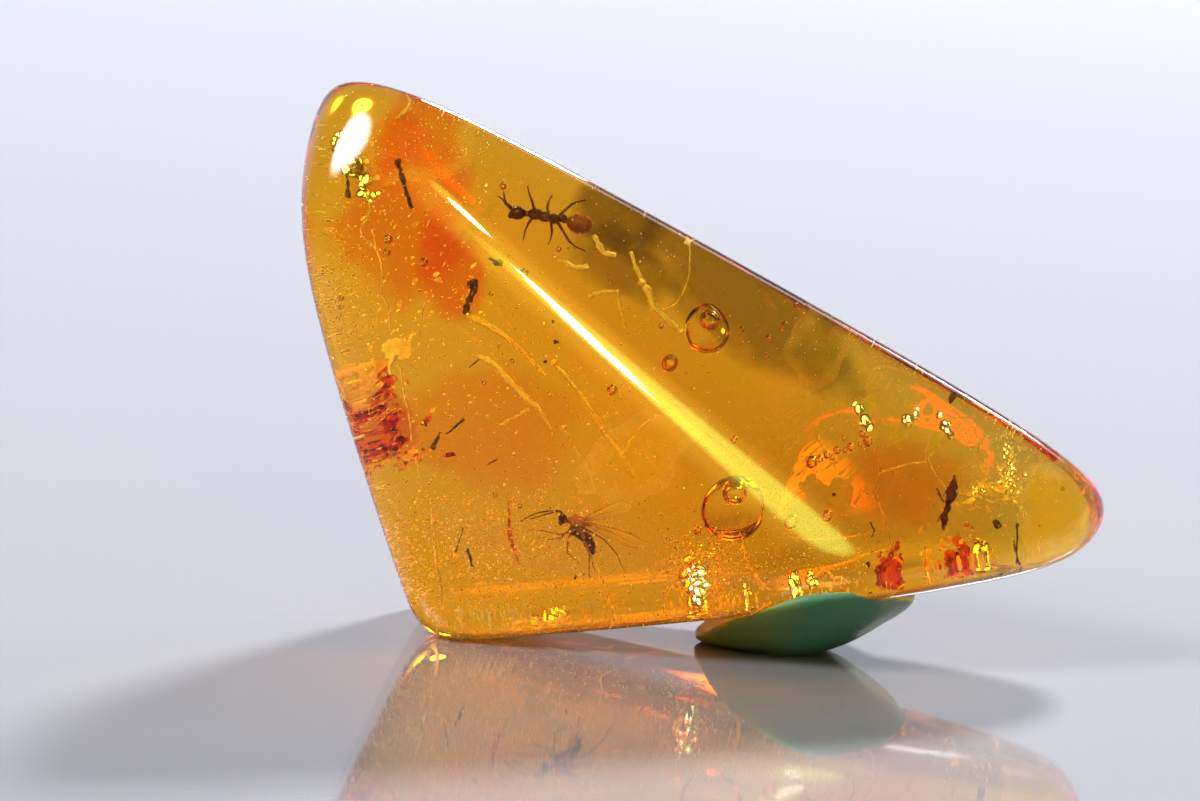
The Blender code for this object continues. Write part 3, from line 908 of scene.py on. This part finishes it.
WATER_IOR = 1.33
WATER_BUBBLES = (
    # depth, radii across and up, place
    (-1.6, (1.18, 1.15, 1.18), (733, 509)),
    (-0.9, (0.84, 0.75, 0.98), (707, 328)),
)
GAS_IN_WATER = (
    (-2.0, 0.48, (735, 491)),
    (-1.1, 0.43, (710, 320)),
)
GAS_BUBBLES = (
    (-1.2, 0.30, (670, 363)),
    (-1.5, 0.19, (612, 390)),
    (-1.3, 0.10, (661, 326)),
    (-1.0, 0.11, (742, 329)),
    (-0.8, 0.13, (769, 338)),
    (-0.8, 0.14, (785, 325)),
    (-0.9, 0.09, (767, 356)),
    (-0.6, 0.10, (796, 306)),
    (-0.6, 0.13, (503, 186)),
    (-0.8, 0.17, (388, 239)),
    (-0.9, 0.14, (387, 252)),
    (-1.0, 0.16, (424, 262)),
    (-1.0, 0.10, (341, 298)),
    (-1.0, 0.08, (341, 307)),
    (-1.1, 0.16, (524, 273)),
    (-1.4, 0.08, (491, 294)),
    (-0.8, 0.10, (559, 249)),
    (-0.8, 0.06, (568, 248)),
    (-0.8, 0.06, (575, 247)),
    (-0.8, 0.06, (581, 248)),
    (-0.8, 0.09, (597, 251)),
    (-1.6, 0.09, (520, 506)),
    (-1.5, 0.10, (495, 495)),
    (-1.8, 0.08, (512, 361)),
    (-1.8, 0.09, (484, 383)),
    (-1.2, 0.16, (698, 531)),
    (-1.0, 0.26, (791, 522)),
    (-1.0, 0.20, (827, 516)),
    (-0.6, 0.13, (734, 440)),
    (-0.5, 0.22, (812, 462)),
    (-0.5, 0.13, (820, 459)),
    (-0.5, 0.13, (827, 455)),
    (-0.5, 0.10, (832, 458)),
    (-0.5, 0.15, (837, 450)),
    (-0.5, 0.10, (845, 450)),
    (-0.5, 0.16, (851, 447)),
    (-0.5, 0.09, (860, 444)),
    (-0.5, 0.20, (868, 441)),
    (-0.6, 0.14, (862, 434)),
    (-0.7, 0.10, (844, 438)),
    (0.4, 0.10, (1083, 491)),
    (0.4, 0.08, (1095, 492)),
)


def bubble_finish(name, ior):
    """The skin between the amber and what a bubble holds: it bends light by the ratio of the two."""
    finish, tree = new_finish(name, {})
    tree.nodes.remove(tree.nodes["Principled BSDF"])
    skin = tree.nodes.new("ShaderNodeBsdfGlass")
    skin.inputs["Color"].default_value = (1, 1, 1, 1)
    skin.inputs["Roughness"].default_value = 0.0
    skin.inputs["IOR"].default_value = ior
    tree.links.new(skin.outputs["BSDF"], tree.nodes["Material Output"].inputs["Surface"])
    return finish


water_bm, inner_gas_bm, gas_bm = bmesh.new(), bmesh.new(), bmesh.new()
for depth, radii, place in WATER_BUBBLES:
    middle = seen_at(*place, depth)
    for vert in add_lobe(water_bm, middle, radii, 5):
        out = vert.co - middle
        is_small = radii[0] < 1  # the big one is round, the small one a little lumpy
        vert.co = middle + out * (1 + 0.10 * noise.noise(out.normalized() + middle) * is_small)
for depth, radius, place in GAS_IN_WATER:
    add_lobe(inner_gas_bm, seen_at(*place, depth), (radius,) * 3, 5)
for depth, radius, place in GAS_BUBBLES:
    add_lobe(gas_bm, sunk(seen_at(*place, depth), radius + 0.1), (radius, radius, radius * 1.05), 4)
finished("water_bubbles", water_bm, bubble_finish("water_in_amber", WATER_IOR / AMBER_IOR), "amber")
finished("gas_in_water", inner_gas_bm, bubble_finish("gas_in_water", 1 / WATER_IOR), "amber")
finished("gas_bubbles", gas_bm, bubble_finish("gas_in_amber", 1 / AMBER_IOR), "amber")

# ---------------------------------------------------------------------------------------------------
# Cracks and flakes: stress broke the resin inside. Thin, air-filled cracks run as bright or rusty
# threads, and where torn flakes of them face the window they flash like foil.

CRACKS = (
    # depth, radius at the start and at the end, places in the view
    (-0.9, 0.04, 0.03, (
        (366, 192), (370, 212), (361, 233), (377, 251), (383, 276), (382, 294), (388, 307), (391, 332),
    )),
    (-0.9, 0.03, 0.02, ((372, 229), (377, 251))),
    (-1.2, 0.02, 0.03, ((425, 302), (422, 318), (419, 338))),
    (-1.8, 0.03, 0.04, ((400, 367), (404, 392), (409, 416), (412, 442))),
    (-1.9, 0.04, 0.02, ((415, 457), (420, 475))),
    (-2.2, 0.03, 0.05, ((431, 508), (434, 534), (436, 560), (440, 585), (443, 609))),
    (-0.6, 0.02, 0.04, ((875, 447), (880, 467), (875, 494), (881, 508), (888, 530), (895, 554), (905, 584))),
    (-0.6, 0.02, 0.02, ((861, 489), (868, 494), (875, 496))),
    (-1.4, 0.02, 0.01, ((1050, 560), (1020, 566), (985, 573))),
    (-0.5, 0.03, 0.04, ((929, 549), (927, 566), (929, 585))),
)
RUSTY_CRACKS = (
    (-1.7, 0.02, 0.05, ((507, 492), (509, 510), (509, 528))),
    (-1.7, 0.08, 0.02, ((509, 530), (512, 544), (515, 554), (520, 566))),
    (-0.6, 0.05, 0.06, ((893, 552), (884, 566), (880, 580))),
)
FLAKE_FIELDS = (
    # rusty, depth, spread in depth, how many, size from and to, stretch, turn, and the field's middle,
    # width and height in the view
    (True, 0.3, 0.8, 46, (0.06, 0.26), 1.8, 70, (386, 412), 34, 84),
    (True, 0.3, 0.6, 40, (0.04, 0.18), 2.0, 10, (390, 452), 70, 28),
    (False, 0.2, 0.6, 26, (0.06, 0.22), 2.6, 0, (357, 397), 22, 50),
    (False, 0.0, 0.4, 16, (0.06, 0.22), 2.4, 85, (374, 384), 12, 54),
    (False, 0.2, 0.6, 30, (0.04, 0.16), 1.8, 12, (394, 455), 76, 26),
    (True, 0.0, 0.6, 50, (0.03, 0.15), 2.0, 60, (890, 566), 26, 44),
    (True, 0.6, 0.7, 50, (0.03, 0.17), 1.8, 20, (966, 562), 46, 40),
    (False, 0.5, 0.6, 40, (0.03, 0.16), 1.5, 40, (968, 556), 50, 44),
    (False, 0.6, 0.6, 90, (0.03, 0.13), 1.6, 80, (1010, 474), 26, 76),
    (False, 0.6, 0.5, 40, (0.03, 0.12), 3.0, -12, (984, 492), 50, 34),
    (False, 0.4, 0.5, 16, (0.03, 0.10), 1.5, 60, (928, 570), 10, 44),
    (False, -0.4, 0.6, 90, (0.02, 0.07), 1.4, 30, (697, 575), 74, 56),
    (False, -1.6, 1.6, 420, (0.015, 0.045), 1.4, 30, (480, 540), 300, 130),
    (False, -0.6, 1.4, 200, (0.015, 0.045), 1.6, 30, (420, 300), 240, 330),
    (False, -0.8, 1.0, 120, (0.015, 0.040), 1.4, 30, (800, 545), 200, 80),
    (False, 0.3, 0.6, 40, (0.02, 0.12), 1.4, 30, (356, 165), 56, 90),
    (False, -0.6, 0.8, 50, (0.02, 0.09), 2.0, 40, (440, 270), 130, 150),
    (False, -0.8, 0.8, 50, (0.02, 0.08), 2.0, 60, (400, 320), 110, 150),
    (False, -1.0, 0.6, 24, (0.02, 0.07), 2.0, 60, (468, 300), 24, 40),
)
FLAKE_SIDES = 9
FLAKE_THICKNESS = 0.012
FLAKE_COVER = 0.08
FLAKE_SCATTER = 0.3
FOIL = (1.0, 0.95, 0.85)
WINDOW = (-130, 38)  # its turn to the right of +Y and its height, in degrees


def crack_finish(name, colour, roughness, metallic):
    """The rippled face of a crack, which mirrors light as foil does."""
    finish, tree = new_finish(name, {"Roughness": roughness, "Metallic": metallic})
    waves = grain(tree, 2500.0, 5.0)
    coloured(tree, waves, (0.3, [0.6 * part for part in colour]), (0.6, colour))
    embossed(tree, waves, 0.25, 0.00003)
    return finish


def rust_finish():
    """Iron-stained film, from a clear fiery orange to a nearly opaque brown."""
    finish, tree = new_finish("rust", {"Roughness": 0.25, "IOR": 1.25, "Transmission Weight": 0.75})
    brown, fiery, pale = (0.14, 0.02, 0.003), (1.0, 0.26, 0.03), (1.0, 0.66, 0.22)
    coloured(tree, grain(tree, 3200.0, 6.0), (0.34, brown), (0.74, pale), (0.52, fiery))
    return finish


def from_lamp(turn, height):
    """The way that light travels from a lamp: its turn to the right of +Y and its height, in degrees."""
    turn, height = radians(turn), radians(height)
    return -Vector((sin(turn) * cos(height), cos(turn) * cos(height), sin(height)))


def glinting(px, py, depth, turn, height):
    """How a small mirror in the stone has to face to flash a lamp on the eye's side to the eye."""
    point = sunk(seen_at(px, py, depth))
    in_air = from_lamp(turn, height)
    lit = in_air
    for _ in range(6):
        lit = bent(in_air, skin_normal(skin_tree.ray_cast(point, -lit)[0]))
    return -(sight(px, py)[2] + lit).normalized()


def strewn(draw, spread):
    """A small step in any direction, drawn at random."""
    return Vector((draw.gauss(0, spread), draw.gauss(0, spread), draw.gauss(0, spread)))


def add_flake(bm, middle, normal, size, draw, stretch, turn):
    """A torn, closed leaf, facing the way of the normal."""
    frame = normal.to_track_quat("Z", "Y").to_matrix() @ Matrix.Rotation(radians(turn), 3, "Z")
    torn = draw.uniform(0, 100)
    disc = bmesh.ops.create_cone(
        bm, cap_ends=True, segments=FLAKE_SIDES, radius1=1, radius2=1, depth=FLAKE_THICKNESS
    )
    for vert in disc["verts"]:
        x, y, z = vert.co
        tear = size * (0.85 + 0.55 * noise.noise(Vector((x * 1.5, y * 1.5, torn))))
        vert.co = sunk(middle + frame @ Vector((x * tear * stretch, y * tear, z)), FLAKE_COVER)


crack_bm, rust_bm, foil_bm = bmesh.new(), bmesh.new(), bmesh.new()
add_strands(crack_bm, CRACKS, 5)
add_strands(rust_bm, RUSTY_CRACKS, 6)
draw = Random(21)
for is_rusty, depth, deep, count, (small, large), stretch, turn, (px, py), width, height in FLAKE_FIELDS:
    batch = bmesh.new()
    for _ in range(count):
        spot = (px + draw.gauss(0, width / 4), py + draw.gauss(0, height / 4))
        middle = sunk(seen_at(*spot, depth + draw.uniform(-deep, deep)), 0.5)
        scatter = strewn(draw, FLAKE_SCATTER)
        normal = (glinting(*spot, depth, *WINDOW) + scatter).normalized()
        size = small + (large - small) * draw.random() ** 2
        add_flake(batch, middle, normal, size, draw, stretch, turn + draw.uniform(-40, 40))
    pour(batch, rust_bm if is_rusty else foil_bm)
for bm in (crack_bm, rust_bm, foil_bm):
    bmesh.ops.recalc_face_normals(bm, faces=bm.faces)
finished("cracks", crack_bm, crack_finish("crack", FOIL, 0.3, 0.4), "amber")
finished("rusty_flakes", rust_bm, rust_finish(), "amber")
finished("bright_flakes", foil_bm, crack_finish("bright_crack", FOIL, 0.3, 0.1), "amber")

# Spangles: swarms of tiny, smooth, dished crack faces that mirror the window beside the viewer.

SPANGLES = (
    # depth, how many, the swarm's length, width and turn in the view, size, stretch, place
    (0.2, 34, 26, 8, 62, 0.22, 1.5, (351, 160)),
    (0.1, 14, 12, 9, 40, 0.14, 1.3, (368, 188)),
    (0.3, 8, 9, 6, 60, 0.14, 1.3, (340, 136)),
    (-0.2, 24, 24, 11, 78, 0.24, 1.6, (697, 581)),
    (-4.2, 26, 17, 7, 78, 0.20, 1.6, (697, 582)),
    (-0.3, 14, 30, 16, 60, 0.07, 1.3, (705, 560)),
    (0.4, 14, 11, 4, -15, 0.20, 1.6, (978, 549)),
    (-0.8, 14, 15, 3, 62, 0.16, 1.6, (862, 414)),
    (-0.8, 12, 9, 4, -35, 0.17, 1.4, (911, 418)),
    (-0.8, 12, 8, 4, 70, 0.16, 1.3, (945, 425)),
    (-2.4, 10, 7, 2, 85, 0.12, 1.6, (746, 590)),
    (-2.4, 16, 9, 4, 85, 0.16, 1.5, (794, 580)),
    (-2.4, 10, 7, 3, 85, 0.13, 1.5, (811, 580)),
    (-0.4, 8, 4, 4, 0, 0.09, 1.1, (792, 523)),
    (-1.0, 12, 20, 2, 5, 0.10, 2.4, (558, 622)),
    (0.2, 34, 32, 10, 80, 0.06, 1.8, (1010, 472)),
    (0.2, 14, 20, 6, -12, 0.05, 2.4, (984, 490)),
)
SPANGLE_SCATTER = 0.05
SPANGLE_DEPTH_SPREAD = 0.3
SPANGLE_COVER = 0.3
SPANGLE_THINNESS = 0.14

spangle_bm = bmesh.new()
draw = Random(55)
for depth, count, length, width, turn, size, stretch, (px, py) in SPANGLES:
    right, down = cos(radians(turn)), sin(radians(turn))
    for _ in range(count):
        out, side = draw.gauss(0, 0.5) * length, draw.gauss(0, 0.5) * width
        spot = (px + out * right + side * down, py + out * down - side * right)
        scatter = strewn(draw, SPANGLE_SCATTER)
        normal = (glinting(*spot, depth, *WINDOW) + scatter).normalized()
        turned = normal.to_track_quat("Z", "Y").to_matrix() @ Matrix.Rotation(draw.uniform(0, pi), 3, "Z")
        large = size * draw.uniform(0.5, 1.0)
        spangle_depth = depth + draw.uniform(-SPANGLE_DEPTH_SPREAD, SPANGLE_DEPTH_SPREAD)
        middle = sunk(seen_at(*spot, spangle_depth), SPANGLE_COVER)
        radii = Vector((large * stretch, large, large * SPANGLE_THINNESS))
        for vert in add_lobe(spangle_bm, (0, 0, 0), (1, 1, 1), 2):
            vert.co = sunk(middle + turned @ (vert.co * radii), FLAKE_COVER)
bmesh.ops.recalc_face_normals(spangle_bm, faces=spangle_bm.faces)
finished("spangles", spangle_bm, crack_finish("spangle", (1.0, 1.0, 1.0), 0.25, 1.0), "amber")

# Crazing: short, bright cracks that run in from the lower corner's edge and from the short side's rim.

CRAZING = (
    # depth, how many, the middle, width and height of the band, how each crack lies in the view, length
    (-3.6, 46, (486, 610), 60, 10, (0.25, 1.0), (5, 15)),
    (-0.5, 34, (322, 240), 12, 190, (1.0, 0.1), (6, 18)),
    (-2.6, 20, (540, 621), 60, 4, (1.0, -0.15), (5, 14)),
    (-0.5, 16, (345, 400), 16, 60, (1.0, 0.15), (8, 20)),
)
CRAZE_COVER = 0.06
CRAZE_RADII = (0.012, 0.028, 0.008)  # at the skin, from and to, and at the inner end

craze_bm = bmesh.new()
draw = Random(33)
for depth, count, (px, py), width, height, (over, down), (short, long) in CRAZING:
    for _ in range(count):
        x, y = px + draw.uniform(-width, width) / 2, py + draw.uniform(-height, height) / 2
        lean, length = draw.gauss(0, 0.2), draw.uniform(short, long)
        end = (x + length * (over + lean * down), y + length * (down - lean * over))
        ends = [seen_at(*spot, depth + draw.uniform(0, 0.4)) for spot in ((x, y), end)]
        points = [sunk(point, CRAZE_COVER) for point in ends]
        thin, thick, tip = CRAZE_RADII
        add_tube(craze_bm, points, (draw.uniform(thin, thick), tip), 3)
bmesh.ops.recalc_face_normals(craze_bm, faces=craze_bm.faces)
finished("crazing", craze_bm, crack_finish("craze", (0.92, 1.0, 1.0), 0.3, 0.0), "amber")

# ---------------------------------------------------------------------------------------------------
# Dust: grains, spores and micro-bubbles a few hundredths of a millimetre across, thickest along the
# lower edge, where the resin ran slowest.

DUST_FIELDS = (
    # how many, radius from and to, depth from and to, and the field's middle, width and height
    (1100, (0.014, 0.042), (-4.0, 2.5), (500, 400), 340, 430),
    (2400, (0.014, 0.044), (-4.6, 1.0), (490, 560), 240, 116),
    (900, (0.014, 0.055), (-3.0, 1.0), (703, 572), 84, 64),
    (420, (0.014, 0.040), (-2.0, 1.5), (352, 290), 40, 160),
    (420, (0.014, 0.042), (-3.0, 1.0), (425, 170), 130, 120),
    (420, (0.012, 0.034), (-3.0, 2.0), (820, 420), 380, 240),
    (420, (0.014, 0.045), (-3.6, 0.0), (790, 568), 160, 54),
    (240, (0.014, 0.050), (-1.0, 1.5), (1000, 480), 90, 110),
    (160, (0.030, 0.075), (-3.5, 1.0), (500, 480), 360, 300),
)
DUST_SPREAD = 1 / 1.4  # of a field's width and height, to either side
DUST_COVER = 0.1


def dust_finish():
    """Most grains pale, a few tan."""
    finish, tree = new_finish("dust", {"Roughness": 0.5})
    coloured(tree, grain(tree, 3000.0), (0.30, (0.80, 0.70, 0.30)), (0.45, (0.92, 1.0, 1.0)))
    return finish


dust_bm = bmesh.new()
draw = Random(44)
for count, (small, large), (near, far), (px, py), width, height in DUST_FIELDS:
    batch = bmesh.new()
    for _ in range(count):
        right, down = draw.triangular(-1, 1) * width, draw.triangular(-1, 1) * height
        spot = (px + right * DUST_SPREAD, py + down * DUST_SPREAD)
        radius = small + (large - small) * draw.random() ** 2
        middle = sunk(seen_at(*spot, draw.uniform(near, far)), DUST_COVER)
        add_lobe(batch, middle, (radius,) * 3, 1)
    pour(batch, dust_bm)
finished("dust", dust_bm, dust_finish(), "amber")

# ---------------------------------------------------------------------------------------------------
# Flow layers: the resin came in several runs of slightly different colour, some of them milky with fine
# bubbles. Each is a thin lens that tints what is seen through it, strongest in its middle. The three
# dark olive ones under the long ridge are partly the resin's tint and partly painted shade.

FLOWS_AND_PAINTED_SHADE = (
    # depth, half width, half height, turn in the view in degrees, place, tint, how clear it is
    # the first three, dark olive, are painted shade on the upper front face under the long ridge, which
    # looks darker for the dim table it shows close behind the stone
    (1.6, 7.4, 2.6, -38, (745, 300), (0.46, 0.42, 0.12), 1.0),
    (2.2, 3.0, 1.6, -36, (650, 215), (0.55, 0.50, 0.20), 1.0),
    (2.0, 2.8, 1.3, -35, (615, 222), (0.42, 0.38, 0.10), 1.0),
    (1.0, 2.9, 4.6, 10, (400, 215), (1.00, 0.52, 0.12), 1.0),
    (0.0, 1.6, 2.6, 30, (450, 270), (1.00, 0.48, 0.10), 1.0),
    (0.0, 1.3, 1.9, 15, (385, 420), (0.90, 0.45, 0.10), 1.0),
    (1.4, 4.6, 3.2, 0, (480, 430), (1.00, 0.72, 0.25), 1.0),
    (0.4, 3.4, 1.3, 10, (800, 575), (0.76, 0.78, 0.30), 1.0),
)
MILKY_FLOWS = (
    (0.6, 1.15, 1.45, -25, (818, 352), (0.80, 0.86, 0.28), 0.88),
    (0.4, 0.9, 0.25, 50, (903, 430), (0.85, 1.00, 0.50), 0.85),
    (0.4, 0.9, 0.25, 65, (936, 440), (0.85, 1.00, 0.50), 0.85),
    (0.4, 0.9, 0.3, 60, (864, 412), (0.85, 1.00, 0.50), 0.85),
    (-2.8, 1.4, 2.4, -50, (640, 455), (1.00, 0.98, 0.35), 0.9),
    (0.6, 1.7, 1.6, 20, (1055, 506), (1.00, 0.92, 0.30), 0.8),
    (1.2, 2.9, 2.2, 20, (905, 480), (1.00, 0.72, 0.16), 0.94),
    (0.5, 1.9, 1.5, 25, (415, 140), (1.00, 0.62, 0.06), 0.86),
)
FLOW_THICKNESS = 0.03
FLOW_COVER = 0.08
MILKY_ROUGHNESS = 0.2
TONGUES = (1.6, 0.35)  # how close together the tongues of a layer's rim are, and how long


def flow_finish(name, tint, clearness):
    """Swirled resin as clear as water at its rim, which tints light without bending it."""
    roughness = 0.0 if clearness == 1 else MILKY_ROUGHNESS
    looks = {"Roughness": roughness, "IOR": 1.0, "Transmission Weight": clearness}
    finish, tree = new_finish(name, looks)
    swirls = grain(tree, 480.0, 7.0, 2.2)
    faded = varied(tree, stored(tree, "fade"), swirls, 0.62)
    coloured(tree, faded, (0.36, tint), (0.92, (1, 1, 1))).interpolation = "EASE"
    return finish


def add_flow_layer(name, depth, half_width, half_height, turn, place, tint, clearness):
    bm = bmesh.new()
    middle = seen_at(*place, depth)
    halves = Vector((half_width, FLOW_THICKNESS, half_height))
    turned = Matrix.Rotation(radians(-turn), 3, "Y")
    closeness, length = TONGUES
    fade = bm.verts.layers.float.new("fade")
    for vert in add_lobe(bm, (0, 0, 0), (1, 1, 1), 4):
        x, y, z = vert.co
        vert[fade] = min(1.0, hypot(x, z)) ** 3
        rim = Vector((atan2(z, x) * closeness, half_width, half_height))
        tongue = 1 + length * noise.noise(rim)
        flat = turned @ (Vector((x * tongue, y, z * tongue)) * halves)
        vert.co = sunk(middle + flat, FLOW_COVER)
    finished(name, bm, flow_finish(name, tint, clearness), "amber")


for i, flow in enumerate(FLOWS_AND_PAINTED_SHADE):
    add_flow_layer(f"flow_{i + 1}", *flow)
for i, flow in enumerate(MILKY_FLOWS):
    add_flow_layer(f"milky_flow_{i + 1}", *flow)

# ---------------------------------------------------------------------------------------------------
# The putty pad: a blob of green modelling putty, rolled between the fingers and squeezed flat under the
# amber, which sank into its top. Its right end curls up off the table.

PAD_MIDDLE = Vector((4.42, -0.40))
PAD_HALF_LENGTH = 4.05
PAD_HALF_WIDTH = 5.3
PAD_BOTTOM_DIP = 0.35
PAD_LOW_TOP = 1.45
PAD_HIGH_TOP = 3.65
PAD_LIFT_FROM = 3.0
PAD_LIFT_BEND = 0.064
PAD_SQUARENESS = 0.81
PAD_RIM_SHARE = 0.36
PAD_FRONT_LIP = 2.0
PAD_CLEARANCE = 0.03
PAD_KNEADING = ((1.1, 0.05), (0.3, 0.012))  # how wide its dents and its creases are, and how deep
PAD_FLAT_BELOW = 0.15  # the underside, which the table keeps flat
PAD_STEP_DOWN = 0.02
MOST_STEPS_DOWN = 120
PAD_COLOURS_AND_AMBER_LIGHT = (
    # share of the pad's length, colour; the two olive stops at the end under the stone are painted light,
    # the golden light that falls through the amber
    (0.0, (0.105, 0.115, 0.008)),
    (1.0, (0.13, 0.20, 0.17)),
    (0.30, (0.09, 0.12, 0.010)),
    (0.48, (0.035, 0.14, 0.075)),
    (0.75, (0.055, 0.17, 0.125)),
)
PAD_COLOURED = (0.0013, 0.0095)  # metres along X, from the first colour to the last


def putty_finish():
    """Oily clay: sea green, greyer and paler towards the raised end; the olive at the end under the amber is
    painted light, the golden light that shines through the stone onto it.
    """
    finish, tree = new_finish("putty", {"Roughness": 0.62})
    place = tree.nodes.new("ShaderNodeTexCoord")
    sides = tree.nodes.new("ShaderNodeSeparateXYZ")
    tree.links.new(place.outputs["Object"], sides.inputs[0])
    smears = grain(tree, 900.0, 6.0)
    drift = varied(tree, sides.outputs["X"], smears, 0.0016)
    coloured(tree, between(tree, drift, *PAD_COLOURED), *PAD_COLOURS_AND_AMBER_LIGHT)
    embossed(tree, smears, 0.35, 0.00006)
    return finish


def clear_of_stone(point):
    """The point, let down until the stone, grown by the clearance, no longer holds it."""
    for _ in range(MOST_STEPS_DOWN):
        out = point - HEART
        if out.length - PAD_CLEARANCE >= stone_reach(out.normalized()):
            break
        point = point - Vector((0, 0, PAD_STEP_DOWN))
    return point


pad_bm = bmesh.new()
bmesh.ops.create_icosphere(pad_bm, subdivisions=6, radius=1)
for vert in pad_bm.verts:
    x, y, z = vert.co
    out = hypot(x, y)
    spread = out ** PAD_SQUARENESS / out if out else 0
    place_x = PAD_MIDDLE.x + PAD_HALF_LENGTH * x * spread
    place_y = PAD_MIDDLE.y + PAD_HALF_WIDTH * y * spread
    share = (place_x - PAD_MIDDLE.x + PAD_HALF_LENGTH) / (2 * PAD_HALF_LENGTH)
    top = PAD_LOW_TOP + (PAD_HIGH_TOP - PAD_LOW_TOP) * share
    lip = PAD_FRONT_LIP * max(0.0, -y * spread) ** 2
    low = lip + PAD_LIFT_BEND * max(0.0, place_x - PAD_LIFT_FROM) ** 2 - PAD_BOTTOM_DIP
    swell = PAD_RIM_SHARE + (1 - PAD_RIM_SHARE if z > 0 else PAD_RIM_SHARE) * asin(z) * 2 / pi
    height = low + (top + lip - low) * swell
    vert.co = clear_of_stone(Vector((place_x, place_y, max(height, 0.0))))
    if vert.co.z > PAD_FLAT_BELOW:
        dents = [noise.noise_vector(vert.co / size) * depth for size, depth in PAD_KNEADING]
        vert.co = clear_of_stone(vert.co + sum(dents, Vector()))
finished("putty_pad", pad_bm, putty_finish(), "putty", "putty_pad")

# ---------------------------------------------------------------------------------------------------
# The table: a smooth, pale lacquered board that runs on out of sight.

TABLE_RADIUS = 3000.0
LACQUER = {"Base Color": (0.18, 0.18, 0.195, 1.0), "Roughness": 0.04}

table_bm = bmesh.new()
bmesh.ops.create_circle(table_bm, cap_ends=True, segments=96, radius=TABLE_RADIUS * MM)
table_mesh = bpy.data.meshes.new("table")
table_bm.to_mesh(table_mesh)
table_bm.free()
table_mesh.materials.append(new_finish("table", LACQUER)[0])
table = bpy.data.objects.new("table", table_mesh)
bpy.context.scene.collection.objects.link(table)

# ---------------------------------------------------------------------------------------------------
# The light: one small round lamp behind the stone and over it, a little to the right. It shines through
# the amber and throws the shadow towards the viewer.

LAMP_TURN = 12  # degrees to the right of +Y
LAMP_HEIGHT = 28  # degrees over the table
LAMP_DISTANCE = 0.80
LAMP_WIDTH = 0.105
LAMP_RADIANCE = 1120.0
STONE_MIDDLE = Vector((0, 0, 0.009))

to_lamp = -from_lamp(LAMP_TURN, LAMP_HEIGHT)
lamp_data = bpy.data.lights.new("key", "AREA")
lamp_data.shape = "DISK"
lamp_data.size = LAMP_WIDTH
lamp_data.energy = LAMP_RADIANCE * pi * (pi / 4 * LAMP_WIDTH ** 2)
lamp = bpy.data.objects.new("key", lamp_data)
bpy.context.scene.collection.objects.link(lamp)
lamp_turned = to_lamp.to_track_quat("Z", "Y").to_matrix().to_4x4()
lamp.matrix_world = Matrix.Translation(STONE_MIDDLE + to_lamp * LAMP_DISTANCE) @ lamp_turned

# The room: a long white wall behind, bright low down, a dim side where the viewer stands, and in it the
# soft glows of lit blinds and screens, which the ridge mirrors as its golden streak.

WALL_LOW = (0.68, 0.72, 0.85, 1)
WALL_HIGH = (0.22, 0.23, 0.26, 1)
ROOM = (0.10, 0.10, 0.11, 1)
WALL_FADES = (0.10, 0.42)  # by the Z part of the way outwards
WALL_STARTS = (0.10, 0.75)  # by its Y part
GLOWS = (
    # turn to the right of +Y and height in degrees, full and faded reach in degrees, colour
    (*WINDOW, 4, 18, (36.0, 35.0, 33.0)),  # the window to the left, which lights what is in the stone
    (40, 38, 4, 14, (3.0, 3.0, 3.0)),  # a lit white screen behind, which the long edge mirrors
    (33, 33, 1.5, 5.5, (40.0, 40.0, 40.0)),
    (167.3, 17.3, 4.0, 7.5, (5.6, 8.6, 1.1)),
    (171.5, 20.0, 3.0, 15.0, (3.4, 2.4, 0.2)),
    (172.2, 18.6, 1.5, 4.2, (5.0, 3.8, 0.3)),
    (172.0, 29.0, 0.6, 3.6, (9.0, 6.0, 0.5)),
    (170.6, 27.3, 0.8, 2.0, (60.0, 55.0, 40.0)),
    (171.2, 21.0, 0.3, 1.1, (60.0, 56.0, 44.0)),
    (171.8, 19.3, 0.5, 1.4, (60.0, 56.0, 44.0)),
    (172.6, 17.6, 0.3, 1.2, (60.0, 55.0, 40.0)),
)

world = bpy.data.worlds.new("studio")
world.use_nodes = True
bpy.context.scene.world = world
sky = world.node_tree
background = sky.nodes["Background"]
background.inputs["Strength"].default_value = 1.0
outward = sky.nodes.new("ShaderNodeTexCoord")
parts = sky.nodes.new("ShaderNodeSeparateXYZ")
sky.links.new(outward.outputs["Generated"], parts.inputs[0])


def sky_mix(share, first, second, blend="MIX"):
    """The two colours mixed, or the second added to the first, by a share from 0 to 1."""
    mix = sky.nodes.new("ShaderNodeMix")
    mix.data_type = "RGBA"
    mix.blend_type = blend
    mix.clamp_result = False
    sky.links.new(share, mix.inputs["Factor"])
    for socket, colour in (("A", first), ("B", second)):
        target = [s for s in mix.inputs if s.name == socket and s.type == "RGBA"][0]
        if isinstance(colour, tuple):
            target.default_value = colour
        else:
            sky.links.new(colour, target)
    return [s for s in mix.outputs if s.type == "RGBA"][0]


def sky_share(value, low, high):
    """The value's place from 0 to 1 between two others, eased at both ends."""
    ramp = sky.nodes.new("ShaderNodeMapRange")
    ramp.interpolation_type = "SMOOTHSTEP"
    ramp.inputs["From Min"].default_value = low
    ramp.inputs["From Max"].default_value = high
    sky.links.new(value, ramp.inputs["Value"])
    return ramp.outputs["Result"]


def glow_on(colour, turn, height, full, faded, tint):
    nearness = sky.nodes.new("ShaderNodeVectorMath")
    nearness.operation = "DOT_PRODUCT"
    sky.links.new(outward.outputs["Generated"], nearness.inputs[0])
    nearness.inputs[1].default_value = -from_lamp(turn, height)
    share = sky_share(nearness.outputs["Value"], cos(radians(faded)), cos(radians(full)))
    return sky_mix(share, colour, (*tint, 1), "ADD")


wall = sky_mix(sky_share(parts.outputs["Z"], *WALL_FADES), WALL_LOW, WALL_HIGH)
room = sky_mix(sky_share(parts.outputs["Y"], *WALL_STARTS), ROOM, wall)
for glow in GLOWS:
    room = glow_on(room, *glow)
sky.links.new(room, background.inputs["Color"])
bpy.context.scene.view_settings.view_transform = "Standard"
